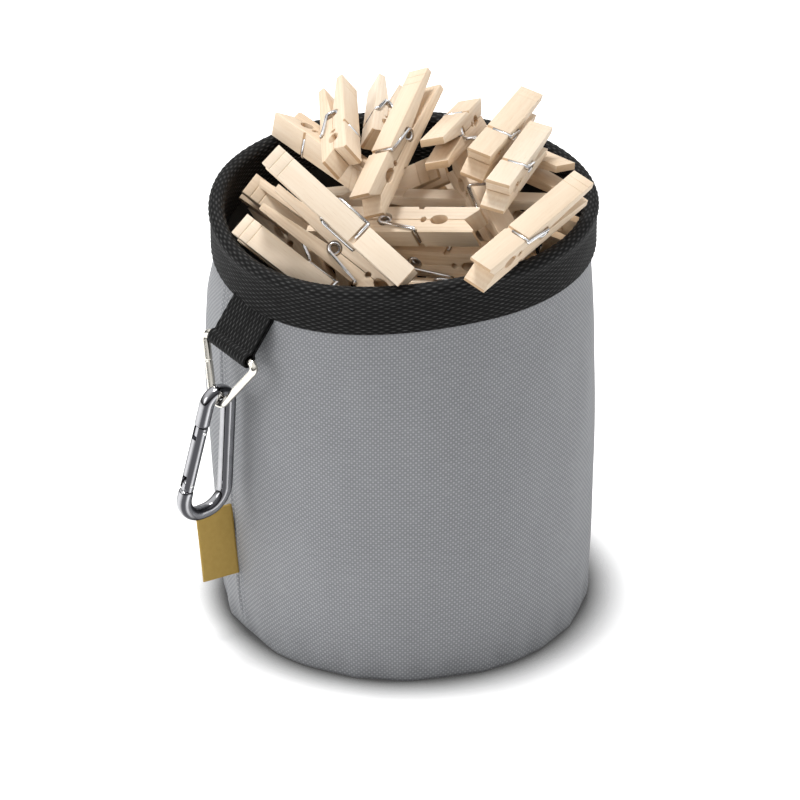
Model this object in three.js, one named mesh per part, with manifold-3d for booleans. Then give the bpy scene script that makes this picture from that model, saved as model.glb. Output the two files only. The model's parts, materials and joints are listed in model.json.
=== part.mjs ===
// A peg bag: a cloth cylinder with a webbing-bound rim, a hanging strap with a triangle ring
// and a snap hook, and a heap of sprung wooden pegs inside.
// Millimetres, +Z up, origin at the middle of the base. The strap hangs on the -X side.
import * as THREE from 'three';
import { mergeVertices } from 'three/addons/utils/BufferGeometryUtils.js';
import Module from 'manifold-3d';

const wasm = await Module();
wasm.setup();

const degrees = THREE.MathUtils.degToRad;

// Clearance between pieces that touch on the real bag
const FIT = 0.3;

// Cloth cylinder, lining and base
const BAG_HEIGHT = 188;
const MOUTH_RADIUS = 78.2;
const FOOT_SWELL = 1.3;
const BELLY_SWELL = 2.8;
const BASE_RADIUS = MOUTH_RADIUS + FOOT_SWELL;
const BELLY_RADIUS = MOUTH_RADIUS + BELLY_SWELL;
const BELLY_HEIGHT = 90;
const CLOTH = 1;
const LINING = 0.6;
const BASE_BOARD = 1.4;
const AROUND = 40;

// Rim: webbing folded over a hoop, sagging at the strap
const BAND_HEIGHT = 20.5;
const WEBBING = 1.5;
const HOOP_DIAMETER = 3.4;
const RIM_DIP = 6.5;
const RIM_DIP_HEADING = degrees(187);
const RIM_DIP_SPREAD = degrees(70);
const NECK_MARGIN = 5;

// Strap, hung below the rim band
const HANGER_HEADING = degrees(180);
const HANGER_ROLL = degrees(5);
const STRAP_WIDTH = 24;
const STRAP_REACH = 16.2;
const STRAP_SLOPE = degrees(55);

// Triangle ring
const RING_WIRE = 3.4;
const RING_WIDTH = 35;
const RING_DROP = 25;
const RING_CORNER = 2.5;
const RING_APEX_BEND = 5.2;
const RING_LEAN = degrees(14);
const RING_SIDES = 8;

// Snap hook
const HOOK_ROD = 6;
const HOOK_LENGTH = 63;
const HOOK_WIDTH = 27;
const HOOK_TOP_BEND = 5.7;
const HOOK_SPINE_BEND = 10;
const HOOK_GATE_BEND = 9;
const HOOK_NOSE = 9.5;
const HOOK_HEEL = 3;
const HOOK_SIDES = 10;
const TONGUE = 2;
const TONGUE_EYE = 2.2;
const HINGE_PIN = 1.8;
const HINGE_INSET = 3.2;
const LATCH_PIN = 1.6;
const LATCH_INSET = 2.3;
const LATCH_PIN_PROUD = 0.6;
const LATCH_LIP = 0.8;
const LATCH_TONGUE = 4.6;
const LATCH_SLOT = 6;
const GATE_EYE = 2.85;
const GATE_GAP = 0.4;
const HINGE_SLOT = 4;
const PLUNGER_DIAMETER = 2;
const PLUNGER_LENGTH = 4.5;
const GATE_SPRING_LENGTH = 6;
const GATE_SPRING_WIRE = 0.5;
const GATE_SPRING_CURLS = 5;
const PIN_SIDES = 10;
const BORE_SIDES = 16;
const SPRING_SIDES = 5;

// Sewn-in side label, folded double and left plain
const LABEL_PROUD = 16;
const LABEL_HEIGHT = 31;
const LABEL_THICKNESS = 1.2;
const LABEL_CENTRE = 45;
const LABEL_HEADING = degrees(169);
const LABEL_TILT = degrees(12);

// Wooden peg: two jaws on a wire spring
const PEG_LENGTH = 75;
const PEG_NOSE = 41;
const PEG_WIDTH = 10;
const JAW_THICKNESS = 6.4;
const TAIL_THICKNESS = 3;
const NOSE_BEVEL = 5.2;
const NOSE_EDGE = 1.4;
const LINE_HOLE_FROM_NOSE = 16.6;
const LINE_HOLE_HALF = 3.8;
const LINE_HOLE_DEPTH = 2.2;
const GROOVE_FROM_NOSE = 26;
const GROOVE_DEPTH = 1.2;
const SPRING_WIRE = 1.4;
const COIL_RADIUS = 2.2;
const COIL_TURNS = 3;
const HOOK_OVER = 8;

// The heap is laid out as seen from the front quarter and turned to face the strap's side.
// Heights count from the rim. The layout fills a circle of HEAP_RADIUS inside the mouth, and
// below its crown it stretches to the depth of the bag.
const HEAP_TURN = degrees(-39);
const HEAP_RADIUS = 77;
const HEAP_MARGIN = 1.2;
const HEAP_DEPTH = 188;
const HEAP_CROWN = 60;

// Top pegs: place of the coil, then heading, pitch and roll in degrees
const TOP_PEGS = [
  { at: [-28, -54.5, 19], turn: [-34, -29, 45] },
  { at: [-1.5, 2, 25], turn: [-110, -19, 27] },
  { at: [41.5, 11.3, 23], turn: [-108, 5, -15] },
  { at: [47, -13, 20], turn: [-105, 7, -10] },
  { at: [52.5, -49.5, 10], turn: [-125, -6, -19] },
  { at: [20, 12, 20.6], turn: [77, -13, -15] },
  { at: [-6, -22, -4], turn: [-23, 11, -62] },
  { at: [-26.5, 22, 21.5], turn: [-88, 3, -51] },
  { at: [-29, 20.5, 6.7], turn: [120, -3, -77] },
  { at: [-40.5, -41.5, -16.5], turn: [-38, -20, 40] },
  { at: [-28, -38, -6], turn: [-21, -33, -36] },
  { at: [45.8, 34.8, -0.5], turn: [128, -5, 8] },
  { at: [-8.5, 49.5, 12], turn: [-92, 8, 60] },
  { at: [-13, 31.5, -19], turn: [170, -30, -50] },
  { at: [-8, 48.6, -28], turn: [-8, 10, -50] },
];

// Second layer, partly seen between the top pegs
const SECOND_PEGS = [
  { at: [33, 14, -19], turn: [72, -5, 0] },
  { at: [15, -36, -27], turn: [-3, 0, 70] },
  { at: [6, -20, -18.8], turn: [-20, 6, 10] },
  { at: [52.5, -12, -54], turn: [-60, -70, 0] },
  { at: [47, -30, -50.5], turn: [-100, -70, 40] },
  { at: [61.5, 6, -33], turn: [100, -50, 30] },
  { at: [-38, 11.5, -25.5], turn: [-20, -32, 40] },
  { at: [25.8, 4.5, -9.6], turn: [-12, 4, -5] },
  { at: [-36.2, 3.2, -41.2], turn: [133, 36, 40] },
  { at: [36, -15, -3.2], turn: [108, 8, 5] },
  { at: [-32.7, 6, -13.9], turn: [-36, -19, -46] },
];

// Buried pegs: where the tail stands and where the nose points
const BURIED_PEGS = [
  { tail: [33, 11, -22], nose: [24, 8, -92] },
  { tail: [24, 8, -84], nose: [9, -2, -158] },
  { tail: [15, -36, -30], nose: [13, -30, -105] },
  { tail: [13, -30, -95], nose: [8, -8, -168] },
  { tail: [8, -19, -24], nose: [6, -6, -98] },
  { tail: [6, -6, -90], nose: [4, -3, -165] },
  { tail: [-38, 11.5, -31], nose: [-28, 8, -106] },
  { tail: [-28, 8, -96], nose: [-4, 0, -167] },
  { tail: [59, -23, -88], nose: [14, -8, -147] },
  { tail: [44, -43, -84], nose: [12, -14, -145] },
  { tail: [56, 31, -58], nose: [18, 4, -122] },
  { tail: [-48, -18, -42], nose: [-2, -5, -108] },
  { tail: [-14, 48, -40.3], nose: [10, -12, -98] },
  { tail: [40, 50, -50], nose: [22, 12, -108] },
  { tail: [-33, -10, -17.3], nose: [-18, -6, -91] },
  { tail: [-30, -48, -46], nose: [-2, -10, -106] },
  { tail: [36, -52, -70], nose: [12, -25, -128] },
  { tail: [-55, 20, -93], nose: [-8, -10, -128] },
  { tail: [-45, -40, -88], nose: [0, -2, -130] },
  { tail: [5, 62, -83], nose: [0, 5, -128] },
  { tail: [50, 40, -93], nose: [8, 0, -133] },
  { tail: [-20, -62, -88], nose: [2, -8, -133] },
  { tail: [62, -5, -90], nose: [8, -4, -136] },
];

// One peg stands on the floor of the lining and carries the rest
const STANDING_PEG = [4, -3];

// Colours and finishes
function finish(color, roughness, metalness = 0) {
  return new THREE.MeshStandardMaterial({ color, roughness, metalness });
}
const greyCloth = () => finish(0x8c9096, 0.85);
const blackCloth = () => finish(0x151516, 0.9);
const blackWebbing = () => finish(0x1d1d1f, 0.8);
const nickel = () => finish(0xcfc9bd, 0.25, 1);
const gunmetal = () => finish(0x8d8e93, 0.3, 1);
const birch = () => finish(0xe6cfac, 0.65);
const zincWire = () => finish(0xb9b9bb, 0.3, 1);
const mustardTape = () => finish(0xb08a38, 0.8);

// Joins rings of points into one closed surface: round on itself, or capped at both ends
function skin(rings, wraps) {
  const size = rings[0].length;
  const index = [];
  const at = (ring, step) => (ring % rings.length) * size + (step % size);
  const bands = wraps ? rings.length : rings.length - 1;
  for (let ring = 0; ring < bands; ring += 1) {
    for (let step = 0; step < size; step += 1) {
      index.push(at(ring, step), at(ring + 1, step), at(ring, step + 1));
      index.push(at(ring, step + 1), at(ring + 1, step), at(ring + 1, step + 1));
    }
  }
  for (let step = 1; !wraps && step < size - 1; step += 1) {
    index.push(at(0, 0), at(0, step), at(0, step + 1));
    index.push(at(bands, 0), at(bands, step + 1), at(bands, step));
  }
  const geometry = new THREE.BufferGeometry();
  geometry.setAttribute('position', new THREE.Float32BufferAttribute(rings.flat(2), 3));
  geometry.setIndex(index);
  return withoutCollapsed(mergeVertices(geometry));
}

// Drops triangles that shrink to a line where a surface meets its axis
function withoutCollapsed(geometry) {
  const corners = geometry.getIndex().array;
  const kept = [];
  for (let i = 0; i < corners.length; i += 3) {
    const [a, b, c] = corners.slice(i, i + 3);
    if (a !== b && b !== c && c !== a) {
      kept.push(a, b, c);
    }
  }
  geometry.setIndex(kept);
  return geometry;
}

// Turns a closed outline of [radius, height] points about Z; the outline may change with the angle
function revolve(outlineAt) {
  const rings = Array.from({ length: AROUND }, (_, i) => {
    const angle = (i / AROUND) * 2 * Math.PI;
    return outlineAt(angle).map(([radius, z]) => [radius * Math.cos(angle), radius * Math.sin(angle), z]);
  });
  return skin(rings, true);
}

// A round bar along a row of points, starting with its first corner towards `side`
function tube(points, radius, sides, side, closed = false) {
  const count = points.length;
  const pick = (i) => points[closed ? (i + count) % count : THREE.MathUtils.clamp(i, 0, count - 1)];
  const normal = side.clone();
  const rings = points.map((point, i) => {
    const along = pick(i + 1).clone().sub(pick(i - 1)).normalize();
    normal.addScaledVector(along, -normal.dot(along)).normalize();
    const across = new THREE.Vector3().crossVectors(normal, along);
    return Array.from({ length: sides }, (_, k) => {
      const angle = (k / sides) * 2 * Math.PI;
      const corner = point.clone().addScaledVector(normal, radius * Math.cos(angle));
      return corner.addScaledVector(across, radius * Math.sin(angle)).toArray();
    });
  });
  return skin(rings, closed);
}

// Least clear distance of a wound tube to itself, measured between points a turn apart
function leastSelfGap(points, wire, stepsApart) {
  let least = Infinity;
  for (let i = 0; i < points.length; i += 1) {
    for (let j = i + stepsApart; j < points.length; j += 1) {
      least = Math.min(least, points[i].distanceTo(points[j]) - wire);
    }
  }
  return least;
}

// A flat outline in X and Z, `width` thick and centred on Y
function slab(outline, width, hole) {
  const shape = new THREE.Shape(outline.map(([x, z]) => new THREE.Vector2(x, z)));
  if (hole) {
    shape.holes.push(new THREE.Path(hole.map(([x, z]) => new THREE.Vector2(x, z))));
  }
  const geometry = new THREE.ExtrudeGeometry(shape, { depth: width, bevelEnabled: false });
  return geometry.rotateX(Math.PI / 2).translate(0, width / 2, 0);
}

function arc(x, z, radius, from, to, steps) {
  return Array.from({ length: steps + 1 }, (_, i) => {
    const angle = THREE.MathUtils.lerp(from, to, i / steps);
    return [x + radius * Math.cos(angle), z + radius * Math.sin(angle)];
  });
}

const box = (x0, x1, z0, z1) => [[x0, z0], [x1, z0], [x1, z1], [x0, z1]];

// A round bar along X from x0 to x1
function barAlongX(x0, x1, radius, sides) {
  const bar = new THREE.CylinderGeometry(radius, radius, x1 - x0, sides);
  return bar.rotateZ(-Math.PI / 2).translate((x0 + x1) / 2, 0, 0);
}

// A round bar along Y, centred at x, z
function barAlongY(x, z, radius, length, sides) {
  return new THREE.CylinderGeometry(radius, radius, length, sides).translate(x, 0, z);
}

function solidOf(geometry) {
  const bare = new THREE.BufferGeometry();
  bare.setAttribute('position', geometry.getAttribute('position'));
  bare.setIndex(geometry.getIndex());
  const merged = mergeVertices(bare);
  const vertProperties = new Float32Array(merged.getAttribute('position').array);
  const triVerts = new Uint32Array(merged.getIndex().array);
  return new wasm.Manifold(new wasm.Mesh({ numProp: 3, vertProperties, triVerts }));
}

function geometryOf(solid) {
  const mesh = solid.getMesh();
  const geometry = new THREE.BufferGeometry();
  geometry.setAttribute('position', new THREE.BufferAttribute(mesh.vertProperties, 3));
  geometry.setIndex(new THREE.BufferAttribute(mesh.triVerts, 1));
  return geometry;
}

const joined = (first, ...rest) => rest.reduce((sum, next) => sum.add(solidOf(next)), solidOf(first));
const cut = (solid, ...tools) => tools.reduce((left, tool) => left.subtract(solidOf(tool)), solid);

// Fills the hollows that joined pieces shut in between them
function withoutCavities(solid) {
  const shells = solid.decompose().filter((shell) => shell.volume() > 0);
  return wasm.Manifold.compose(shells);
}

function addMesh(parent, name, geometry, material) {
  const mesh = new THREE.Mesh(geometry, material);
  mesh.name = name;
  parent.add(mesh);
  return mesh;
}

// Arcs of a belt drawn tight round three or more circles, counter-clockwise
function beltArcs(circles) {
  const count = circles.length;
  const leaving = circles.map((from, i) => {
    const to = circles[(i + 1) % count];
    const way = new THREE.Vector2(to.x - from.x, to.y - from.y);
    const lean = (from.r - to.r) / way.length();
    way.normalize();
    const out = new THREE.Vector2(way.y, -way.x).multiplyScalar(Math.sqrt(1 - lean * lean));
    return out.addScaledVector(way, lean).angle();
  });
  return circles.map((circle, i) => {
    const from = leaving[(i + count - 1) % count];
    const sweep = (leaving[i] - from + 2 * Math.PI) % (2 * Math.PI);
    const steps = Math.ceil(sweep / degrees(24));
    const points = arc(circle.x, circle.y, circle.r, from, from + sweep, steps);
    return points.map(([x, y]) => new THREE.Vector2(x, y));
  });
}

// Height of the rim's top edge round the bag
function rimTop(angle) {
  const turn = angle - RIM_DIP_HEADING;
  const away = Math.min(Math.abs(Math.atan2(Math.sin(turn), Math.cos(turn))), RIM_DIP_SPREAD);
  return BAG_HEIGHT - (RIM_DIP * (1 + Math.cos((Math.PI * away) / RIM_DIP_SPREAD))) / 2;
}

const BEAD = WEBBING + FIT + HOOP_DIAMETER / 2;
const NECK_HEIGHT = BAG_HEIGHT - RIM_DIP - BAND_HEIGHT - NECK_MARGIN;
const WALL_STACK = CLOTH + FIT + LINING;
const BEAD_RADIUS = MOUTH_RADIUS - WALL_STACK / 2;
const LINING_FLOOR = BASE_BOARD + FIT;

// Outside radius of the cloth: fullest at the belly, drawn in under the rim
function wallRadius(z) {
  if (z < BELLY_HEIGHT) {
    return THREE.MathUtils.lerp(BASE_RADIUS, BELLY_RADIUS, Math.sin(((z / BELLY_HEIGHT) * Math.PI) / 2));
  }
  const climb = Math.min((z - BELLY_HEIGHT) / (NECK_HEIGHT - BELLY_HEIGHT), 1);
  return THREE.MathUtils.lerp(BELLY_RADIUS, MOUTH_RADIUS, climb * climb);
}

function wallLevels(foot, top) {
  const low = [0, 0.25, 0.6].map((share) => THREE.MathUtils.lerp(foot, BELLY_HEIGHT, share));
  const high = [0, 0.5, 0.8, 1].map((share) => THREE.MathUtils.lerp(BELLY_HEIGHT, NECK_HEIGHT, share));
  return [...low, ...high, top];
}

// The cloth and the lining end just under the hoop
const wallTop = (angle) => rimTop(angle) - WEBBING - FIT - HOOP_DIAMETER - FIT;

function sidePanel() {
  return revolve((angle) => {
    const levels = wallLevels(0, wallTop(angle));
    const outside = levels.map((z) => [wallRadius(z), z]);
    const inside = levels.map((z) => [wallRadius(z) - CLOTH, z]);
    return [...outside, ...inside.reverse()];
  });
}

function basePanel() {
  const radius = wallRadius(0) - CLOTH - FIT;
  return revolve(() => [[0, 0], [radius, 0], [radius, BASE_BOARD], [0, BASE_BOARD]]);
}

function lining() {
  const floor = LINING_FLOOR + LINING;
  const liningRadius = (z) => wallRadius(z) - CLOTH - FIT;
  return revolve((angle) => {
    const outside = wallLevels(LINING_FLOOR, wallTop(angle)).map((z) => [liningRadius(z), z]);
    const inside = wallLevels(floor, wallTop(angle)).map((z) => [liningRadius(z) - LINING, z]);
    return [[0, LINING_FLOOR], ...outside, ...inside.reverse(), [0, floor]];
  });
}

function rimHoop() {
  return revolve((angle) => arc(BEAD_RADIUS, rimTop(angle) - BEAD, HOOP_DIAMETER / 2, 0, degrees(315), 7));
}

function rimBinding() {
  const outerLeg = MOUTH_RADIUS + FIT;
  const innerLeg = MOUTH_RADIUS - WALL_STACK - FIT;
  const roll = degrees(20);
  return revolve((angle) => {
    const top = rimTop(angle);
    const foot = top - BAND_HEIGHT;
    const middle = top - BEAD;
    const shoulder = middle - BEAD;
    const over = arc(BEAD_RADIUS, middle, BEAD, -roll, Math.PI + roll, 8);
    const under = arc(BEAD_RADIUS, middle, BEAD - WEBBING, Math.PI + roll, -roll, 8);
    return [
      [outerLeg + WEBBING, foot], [outerLeg + WEBBING, shoulder], ...over,
      [innerLeg - WEBBING, shoulder], [innerLeg - WEBBING, foot],
      [innerLeg, foot], [innerLeg, shoulder], ...under, [outerLeg, shoulder], [outerLeg, foot],
    ];
  });
}

// Webbing laid double from the band down to an eye round the ring's bar
function strapLoop() {
  const eye = RING_WIRE / 2 + FIT + WEBBING;
  const bore = RING_WIRE / 2 + FIT;
  const half = WEBBING + FIT / 2;
  const meet = Math.asin(half / eye);
  const round = arc(STRAP_REACH, 0, eye, meet - Math.PI, Math.PI - meet, 12);
  const hole = arc(STRAP_REACH, 0, bore, 0, degrees(330), 11);
  const outline = [[0, half], [0, -half], ...round];
  return slab(outline, STRAP_WIDTH, hole).rotateY(Math.PI - STRAP_SLOPE);
}

// Bent wire triangle hanging from its bar: X is the wire's own plane normal
function triangleRing() {
  const corner = RING_CORNER + RING_WIRE / 2;
  const reach = RING_WIDTH / 2 - corner;
  const circles = [
    { x: reach, y: -RING_CORNER, r: RING_CORNER },
    { x: -reach, y: -RING_CORNER, r: RING_CORNER },
    { x: 0, y: RING_APEX_BEND - RING_DROP, r: RING_APEX_BEND },
  ];
  const points = beltArcs(circles).flat().map(({ x, y }) => new THREE.Vector3(0, x, y));
  return tube(points, RING_WIRE / 2, RING_SIDES, new THREE.Vector3(1, 0, 0), true);
}

// Snap hook in X and Z, hanging from the ring's wire at its origin; -X is away from the bag
const HOOK_SEAT = HOOK_ROD / 2 + RING_WIRE / 2 + FIT;
const HOOK_TOP_CENTRE = HOOK_SEAT - HOOK_TOP_BEND;
const HOOK_BOTTOM = HOOK_SEAT + HOOK_ROD - HOOK_LENGTH;
const HOOK_SPINE = -HOOK_TOP_BEND;
const HOOK_GATE_SIDE = HOOK_SPINE + HOOK_WIDTH - HOOK_ROD;
const HOOK_CIRCLES = [
  { x: 0, y: HOOK_TOP_CENTRE, r: HOOK_TOP_BEND },
  { x: HOOK_SPINE + HOOK_SPINE_BEND, y: HOOK_BOTTOM + HOOK_SPINE_BEND, r: HOOK_SPINE_BEND },
  { x: HOOK_GATE_SIDE - HOOK_GATE_BEND, y: HOOK_BOTTOM + HOOK_GATE_BEND, r: HOOK_GATE_BEND },
];
const [topArc, spineArc, gateArc] = beltArcs(HOOK_CIRCLES);
const gateFoot = gateArc[gateArc.length - 1];
const gateWay = topArc[0].clone().sub(gateFoot).normalize();
const hingeFace = gateFoot.clone().addScaledVector(gateWay, HOOK_HEEL);
const noseFace = topArc[0].clone().addScaledVector(gateWay, -HOOK_NOSE);
const hingeSpot = hingeFace.clone().addScaledVector(gateWay, HINGE_INSET);
const noseReach = noseFace.distanceTo(hingeSpot);
const latchSpot = noseReach - LATCH_INSET;

const inHookPlane = ({ x, y }) => new THREE.Vector3(-x, 0, y);

// The gate's own frame: X from hinge to nose, Z away from the bag
const gateFrame = new THREE.Matrix4().makeRotationY(-Math.atan2(gateWay.y, -gateWay.x));
gateFrame.setPosition(inHookPlane(hingeSpot));

function hookBody() {
  const route = [noseFace, ...topArc, ...spineArc, ...gateArc, hingeFace].map(inHookPlane);
  const rod = tube(route, HOOK_ROD / 2, HOOK_SIDES, new THREE.Vector3(0, 1, 0));
  const root = HINGE_INSET + HOOK_HEEL / 2;
  const eye = arc(0, 0, TONGUE_EYE, degrees(-90), degrees(90), 8);
  const hingeTongue = slab([[-root, -TONGUE_EYE], ...eye, [-root, TONGUE_EYE]], TONGUE);
  const lipFoot = -LATCH_PIN / 2;
  const inner = LATCH_PIN / 2 + FIT;
  const tip = noseReach - LATCH_TONGUE;
  const latchTongue = slab([
    [tip, lipFoot], [tip + LATCH_LIP, lipFoot], [tip + LATCH_LIP, inner],
    [noseReach + LATCH_LIP, inner], [noseReach + LATCH_LIP, TONGUE_EYE], [tip, TONGUE_EYE],
  ], TONGUE);
  const pinHole = barAlongY(0, 0, HINGE_PIN / 2 + FIT, HOOK_ROD, PIN_SIDES);
  const tongues = [hingeTongue, latchTongue].map((tongue) => tongue.applyMatrix4(gateFrame));
  return geometryOf(cut(joined(rod, ...tongues), pinHole.applyMatrix4(gateFrame)));
}

function hookGate() {
  const end = noseReach - GATE_GAP;
  const round = arc(0, 0, GATE_EYE, degrees(90), degrees(270), 8);
  const outline = slab([[end, -GATE_EYE], [end, GATE_EYE], ...round], HOOK_ROD);
  const rod = barAlongX(-HOOK_ROD, noseReach, HOOK_ROD / 2, HOOK_SIDES * 2);
  const slotWidth = TONGUE + 2 * FIT;
  const bore = PLUNGER_DIAMETER / 2 + FIT;
  const boreEnd = TONGUE_EYE + FIT + PLUNGER_LENGTH + FIT + GATE_SPRING_LENGTH + FIT;
  return geometryOf(cut(
    solidOf(outline).intersect(solidOf(rod)),
    slab(box(-HOOK_ROD, HINGE_SLOT, -HOOK_ROD, HOOK_ROD), slotWidth),
    slab(box(noseReach - LATCH_SLOT, noseReach, -HOOK_ROD, HOOK_ROD), slotWidth),
    barAlongX(HINGE_SLOT - FIT, boreEnd, bore, BORE_SIDES),
    barAlongY(0, 0, HINGE_PIN / 2 + FIT, 2 * HOOK_ROD, PIN_SIDES),
    barAlongY(latchSpot, 0, LATCH_PIN / 2 + FIT, 2 * HOOK_ROD, PIN_SIDES),
  ));
}

function gateSpringRoute() {
  const stepsPerCurl = 8;
  const steps = GATE_SPRING_CURLS * stepsPerCurl;
  const start = TONGUE_EYE + FIT + PLUNGER_LENGTH + FIT + GATE_SPRING_WIRE / 2;
  const climb = GATE_SPRING_LENGTH - GATE_SPRING_WIRE;
  const radius = (PLUNGER_DIAMETER - GATE_SPRING_WIRE) / 2;
  return Array.from({ length: steps + 1 }, (_, i) => {
    const angle = (i / stepsPerCurl) * 2 * Math.PI;
    const x = start + (climb * i) / steps;
    return new THREE.Vector3(x, radius * Math.cos(angle), radius * Math.sin(angle));
  });
}

function sideLabel() {
  const fold = LABEL_THICKNESS / 2;
  const end = LABEL_PROUD - fold;
  const outline = [[0, -fold], ...arc(end, 0, fold, degrees(-90), degrees(90), 6), [0, fold]];
  const shape = new THREE.Shape(outline.map(([x, y]) => new THREE.Vector2(x, y)));
  const tape = new THREE.ExtrudeGeometry(shape, { depth: LABEL_HEIGHT, bevelEnabled: false });
  return tape.translate(0, 0, -LABEL_HEIGHT / 2);
}

// One wooden jaw in X (towards the nose) and Z (away from its partner), the coil at the origin
const PEG_TAIL = PEG_NOSE - PEG_LENGTH;
const COIL_NOTCH = COIL_RADIUS + SPRING_WIRE / 2 + FIT;
const GROOVE_X = PEG_NOSE - GROOVE_FROM_NOSE;
const GROOVE_HALF = SPRING_WIRE / 2 + FIT;
const WIRE_HEIGHT = JAW_THICKNESS - GROOVE_DEPTH + FIT + SPRING_WIRE / 2;

function jaw() {
  const seam = FIT / 2;
  const gape = Math.atan2(JAW_THICKNESS - TAIL_THICKNESS, -PEG_TAIL);
  const notch = Math.asin(seam / COIL_NOTCH);
  const holeX = PEG_NOSE - LINE_HOLE_FROM_NOSE;
  const holeArc = arc(0, 0, 1, Math.PI, 0, 6).map(([x, z]) => [
    holeX + x * LINE_HOLE_HALF, seam + z * LINE_HOLE_DEPTH,
  ]);
  const flare = FIT;
  const outline = [
    [PEG_TAIL, JAW_THICKNESS - TAIL_THICKNESS],
    ...arc(0, 0, COIL_NOTCH, Math.PI - gape, notch, 6),
    ...holeArc,
    [PEG_NOSE - NOSE_BEVEL, seam],
    [PEG_NOSE, JAW_THICKNESS - NOSE_EDGE],
    [PEG_NOSE, JAW_THICKNESS],
    [GROOVE_X + GROOVE_HALF + flare, JAW_THICKNESS],
    [GROOVE_X + GROOVE_HALF, JAW_THICKNESS - GROOVE_DEPTH],
    [GROOVE_X - GROOVE_HALF, JAW_THICKNESS - GROOVE_DEPTH],
    [GROOVE_X - GROOVE_HALF - flare, JAW_THICKNESS],
    [PEG_TAIL, JAW_THICKNESS],
  ];
  return slab(outline, PEG_WIDTH);
}

// The spring's wire: over one jaw, down its side, round the coil, and out over the other jaw
function pegSpringRoute() {
  const stepsPerCurl = 8;
  const sideY = PEG_WIDTH / 2 + FIT + SPRING_WIRE / 2;
  const bend = SPRING_WIRE / 2;
  const lead = degrees(100);
  const sweep = 2 * (Math.PI - lead) + COIL_TURNS * 2 * Math.PI;
  const steps = Math.round((sweep / (2 * Math.PI)) * stepsPerCurl);
  const coil = Array.from({ length: steps + 1 }, (_, i) => {
    const angle = lead + (sweep * i) / steps;
    const y = THREE.MathUtils.lerp(sideY, -sideY, i / steps);
    return new THREE.Vector3(COIL_RADIUS * Math.cos(angle), y, COIL_RADIUS * Math.sin(angle));
  });
  const arm = [
    new THREE.Vector3(GROOVE_X, sideY - HOOK_OVER, WIRE_HEIGHT),
    new THREE.Vector3(GROOVE_X, sideY - bend, WIRE_HEIGHT),
    new THREE.Vector3(GROOVE_X, sideY, WIRE_HEIGHT - bend),
  ];
  const farArm = arm.map((point) => new THREE.Vector3(point.x, -point.y, -point.z)).reverse();
  return [...arm, ...coil, ...farArm];
}

// A closed peg in one outline, for the pegs that lie joined below the top layer
function wholePeg() {
  const top = JAW_THICKNESS;
  const gape = JAW_THICKNESS - TAIL_THICKNESS;
  const mouth = JAW_THICKNESS - NOSE_EDGE;
  const upper = [[PEG_NOSE, mouth], [PEG_NOSE, top], [PEG_TAIL, top], [PEG_TAIL, gape]];
  const lower = upper.map(([x, z]) => [x, -z]).reverse();
  return slab([...upper, [-COIL_NOTCH, 0], ...lower, [PEG_NOSE - NOSE_BEVEL, 0]], PEG_WIDTH);
}

// The heap spreads and sinks with the mouth of the bag
const heapScale = (MOUTH_RADIUS - HEAP_MARGIN) / HEAP_RADIUS;

function inHeap([x, y, z]) {
  const stretch = (BAG_HEIGHT / heapScale - HEAP_CROWN) / (HEAP_DEPTH - HEAP_CROWN);
  const deep = Math.max(-HEAP_CROWN - z, 0);
  const spot = new THREE.Vector3(x, y, z - deep * (stretch - 1)).multiplyScalar(heapScale);
  return spot.setZ(spot.z + BAG_HEIGHT);
}

function lay(object, { at, turn }) {
  const [heading, pitch, roll] = turn.map(degrees);
  object.position.copy(inHeap(at));
  object.rotation.set(roll, -pitch, heading, 'ZYX');
  object.scale.setScalar(heapScale);
}

// Stands a peg with its tail at one point and its nose towards another
function stand(object, tail, nose) {
  const along = nose.clone().sub(tail).normalize();
  object.quaternion.setFromUnitVectors(new THREE.Vector3(1, 0, 0), along);
  object.position.copy(tail).addScaledVector(along, -PEG_TAIL * heapScale);
  object.scale.setScalar(heapScale);
}

function lowerPegs() {
  const placed = (place) => {
    const holder = new THREE.Object3D();
    place(holder);
    holder.updateMatrix();
    return wholePeg().applyMatrix4(holder.matrix);
  };
  const foot = inHeap([...STANDING_PEG, 0]).setZ(LINING_FLOOR + LINING + FIT);
  const head = foot.clone().setZ(foot.z + PEG_LENGTH * heapScale);
  const second = SECOND_PEGS.map((pose) => placed((holder) => lay(holder, pose)));
  const buried = BURIED_PEGS.map(({ tail, nose }) => {
    return placed((holder) => stand(holder, inHeap(tail), inHeap(nose)));
  });
  const standing = placed((holder) => stand(holder, head, foot));
  return geometryOf(withoutCavities(joined(...second, ...buried, standing)));
}

const pegBag = new THREE.Group();
pegBag.name = 'peg_bag';

// Cloth body
addMesh(pegBag, 'side_panel', sidePanel(), greyCloth());
addMesh(pegBag, 'base_panel', basePanel(), greyCloth());
addMesh(pegBag, 'lining', lining(), blackCloth());
addMesh(pegBag, 'rim_hoop', rimHoop(), finish(0x2a2a2c, 0.6));
addMesh(pegBag, 'rim_binding', rimBinding(), blackWebbing());

// Hanger: strap, ring and snap hook, each hung from the one before
const strapGroup = new THREE.Group();
const strapFoot = rimTop(HANGER_HEADING) - BAND_HEIGHT - FIT;
const strapRise = (WEBBING + FIT / 2) * Math.cos(STRAP_SLOPE) + (STRAP_WIDTH / 2) * Math.sin(HANGER_ROLL);
const strapOut = MOUTH_RADIUS + FIT + (WEBBING + FIT / 2) * Math.sin(STRAP_SLOPE);
strapGroup.position.set(-strapOut, 0, strapFoot - strapRise);
strapGroup.rotation.x = HANGER_ROLL;
pegBag.add(strapGroup);
addMesh(strapGroup, 'strap_loop', strapLoop(), blackWebbing());

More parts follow.
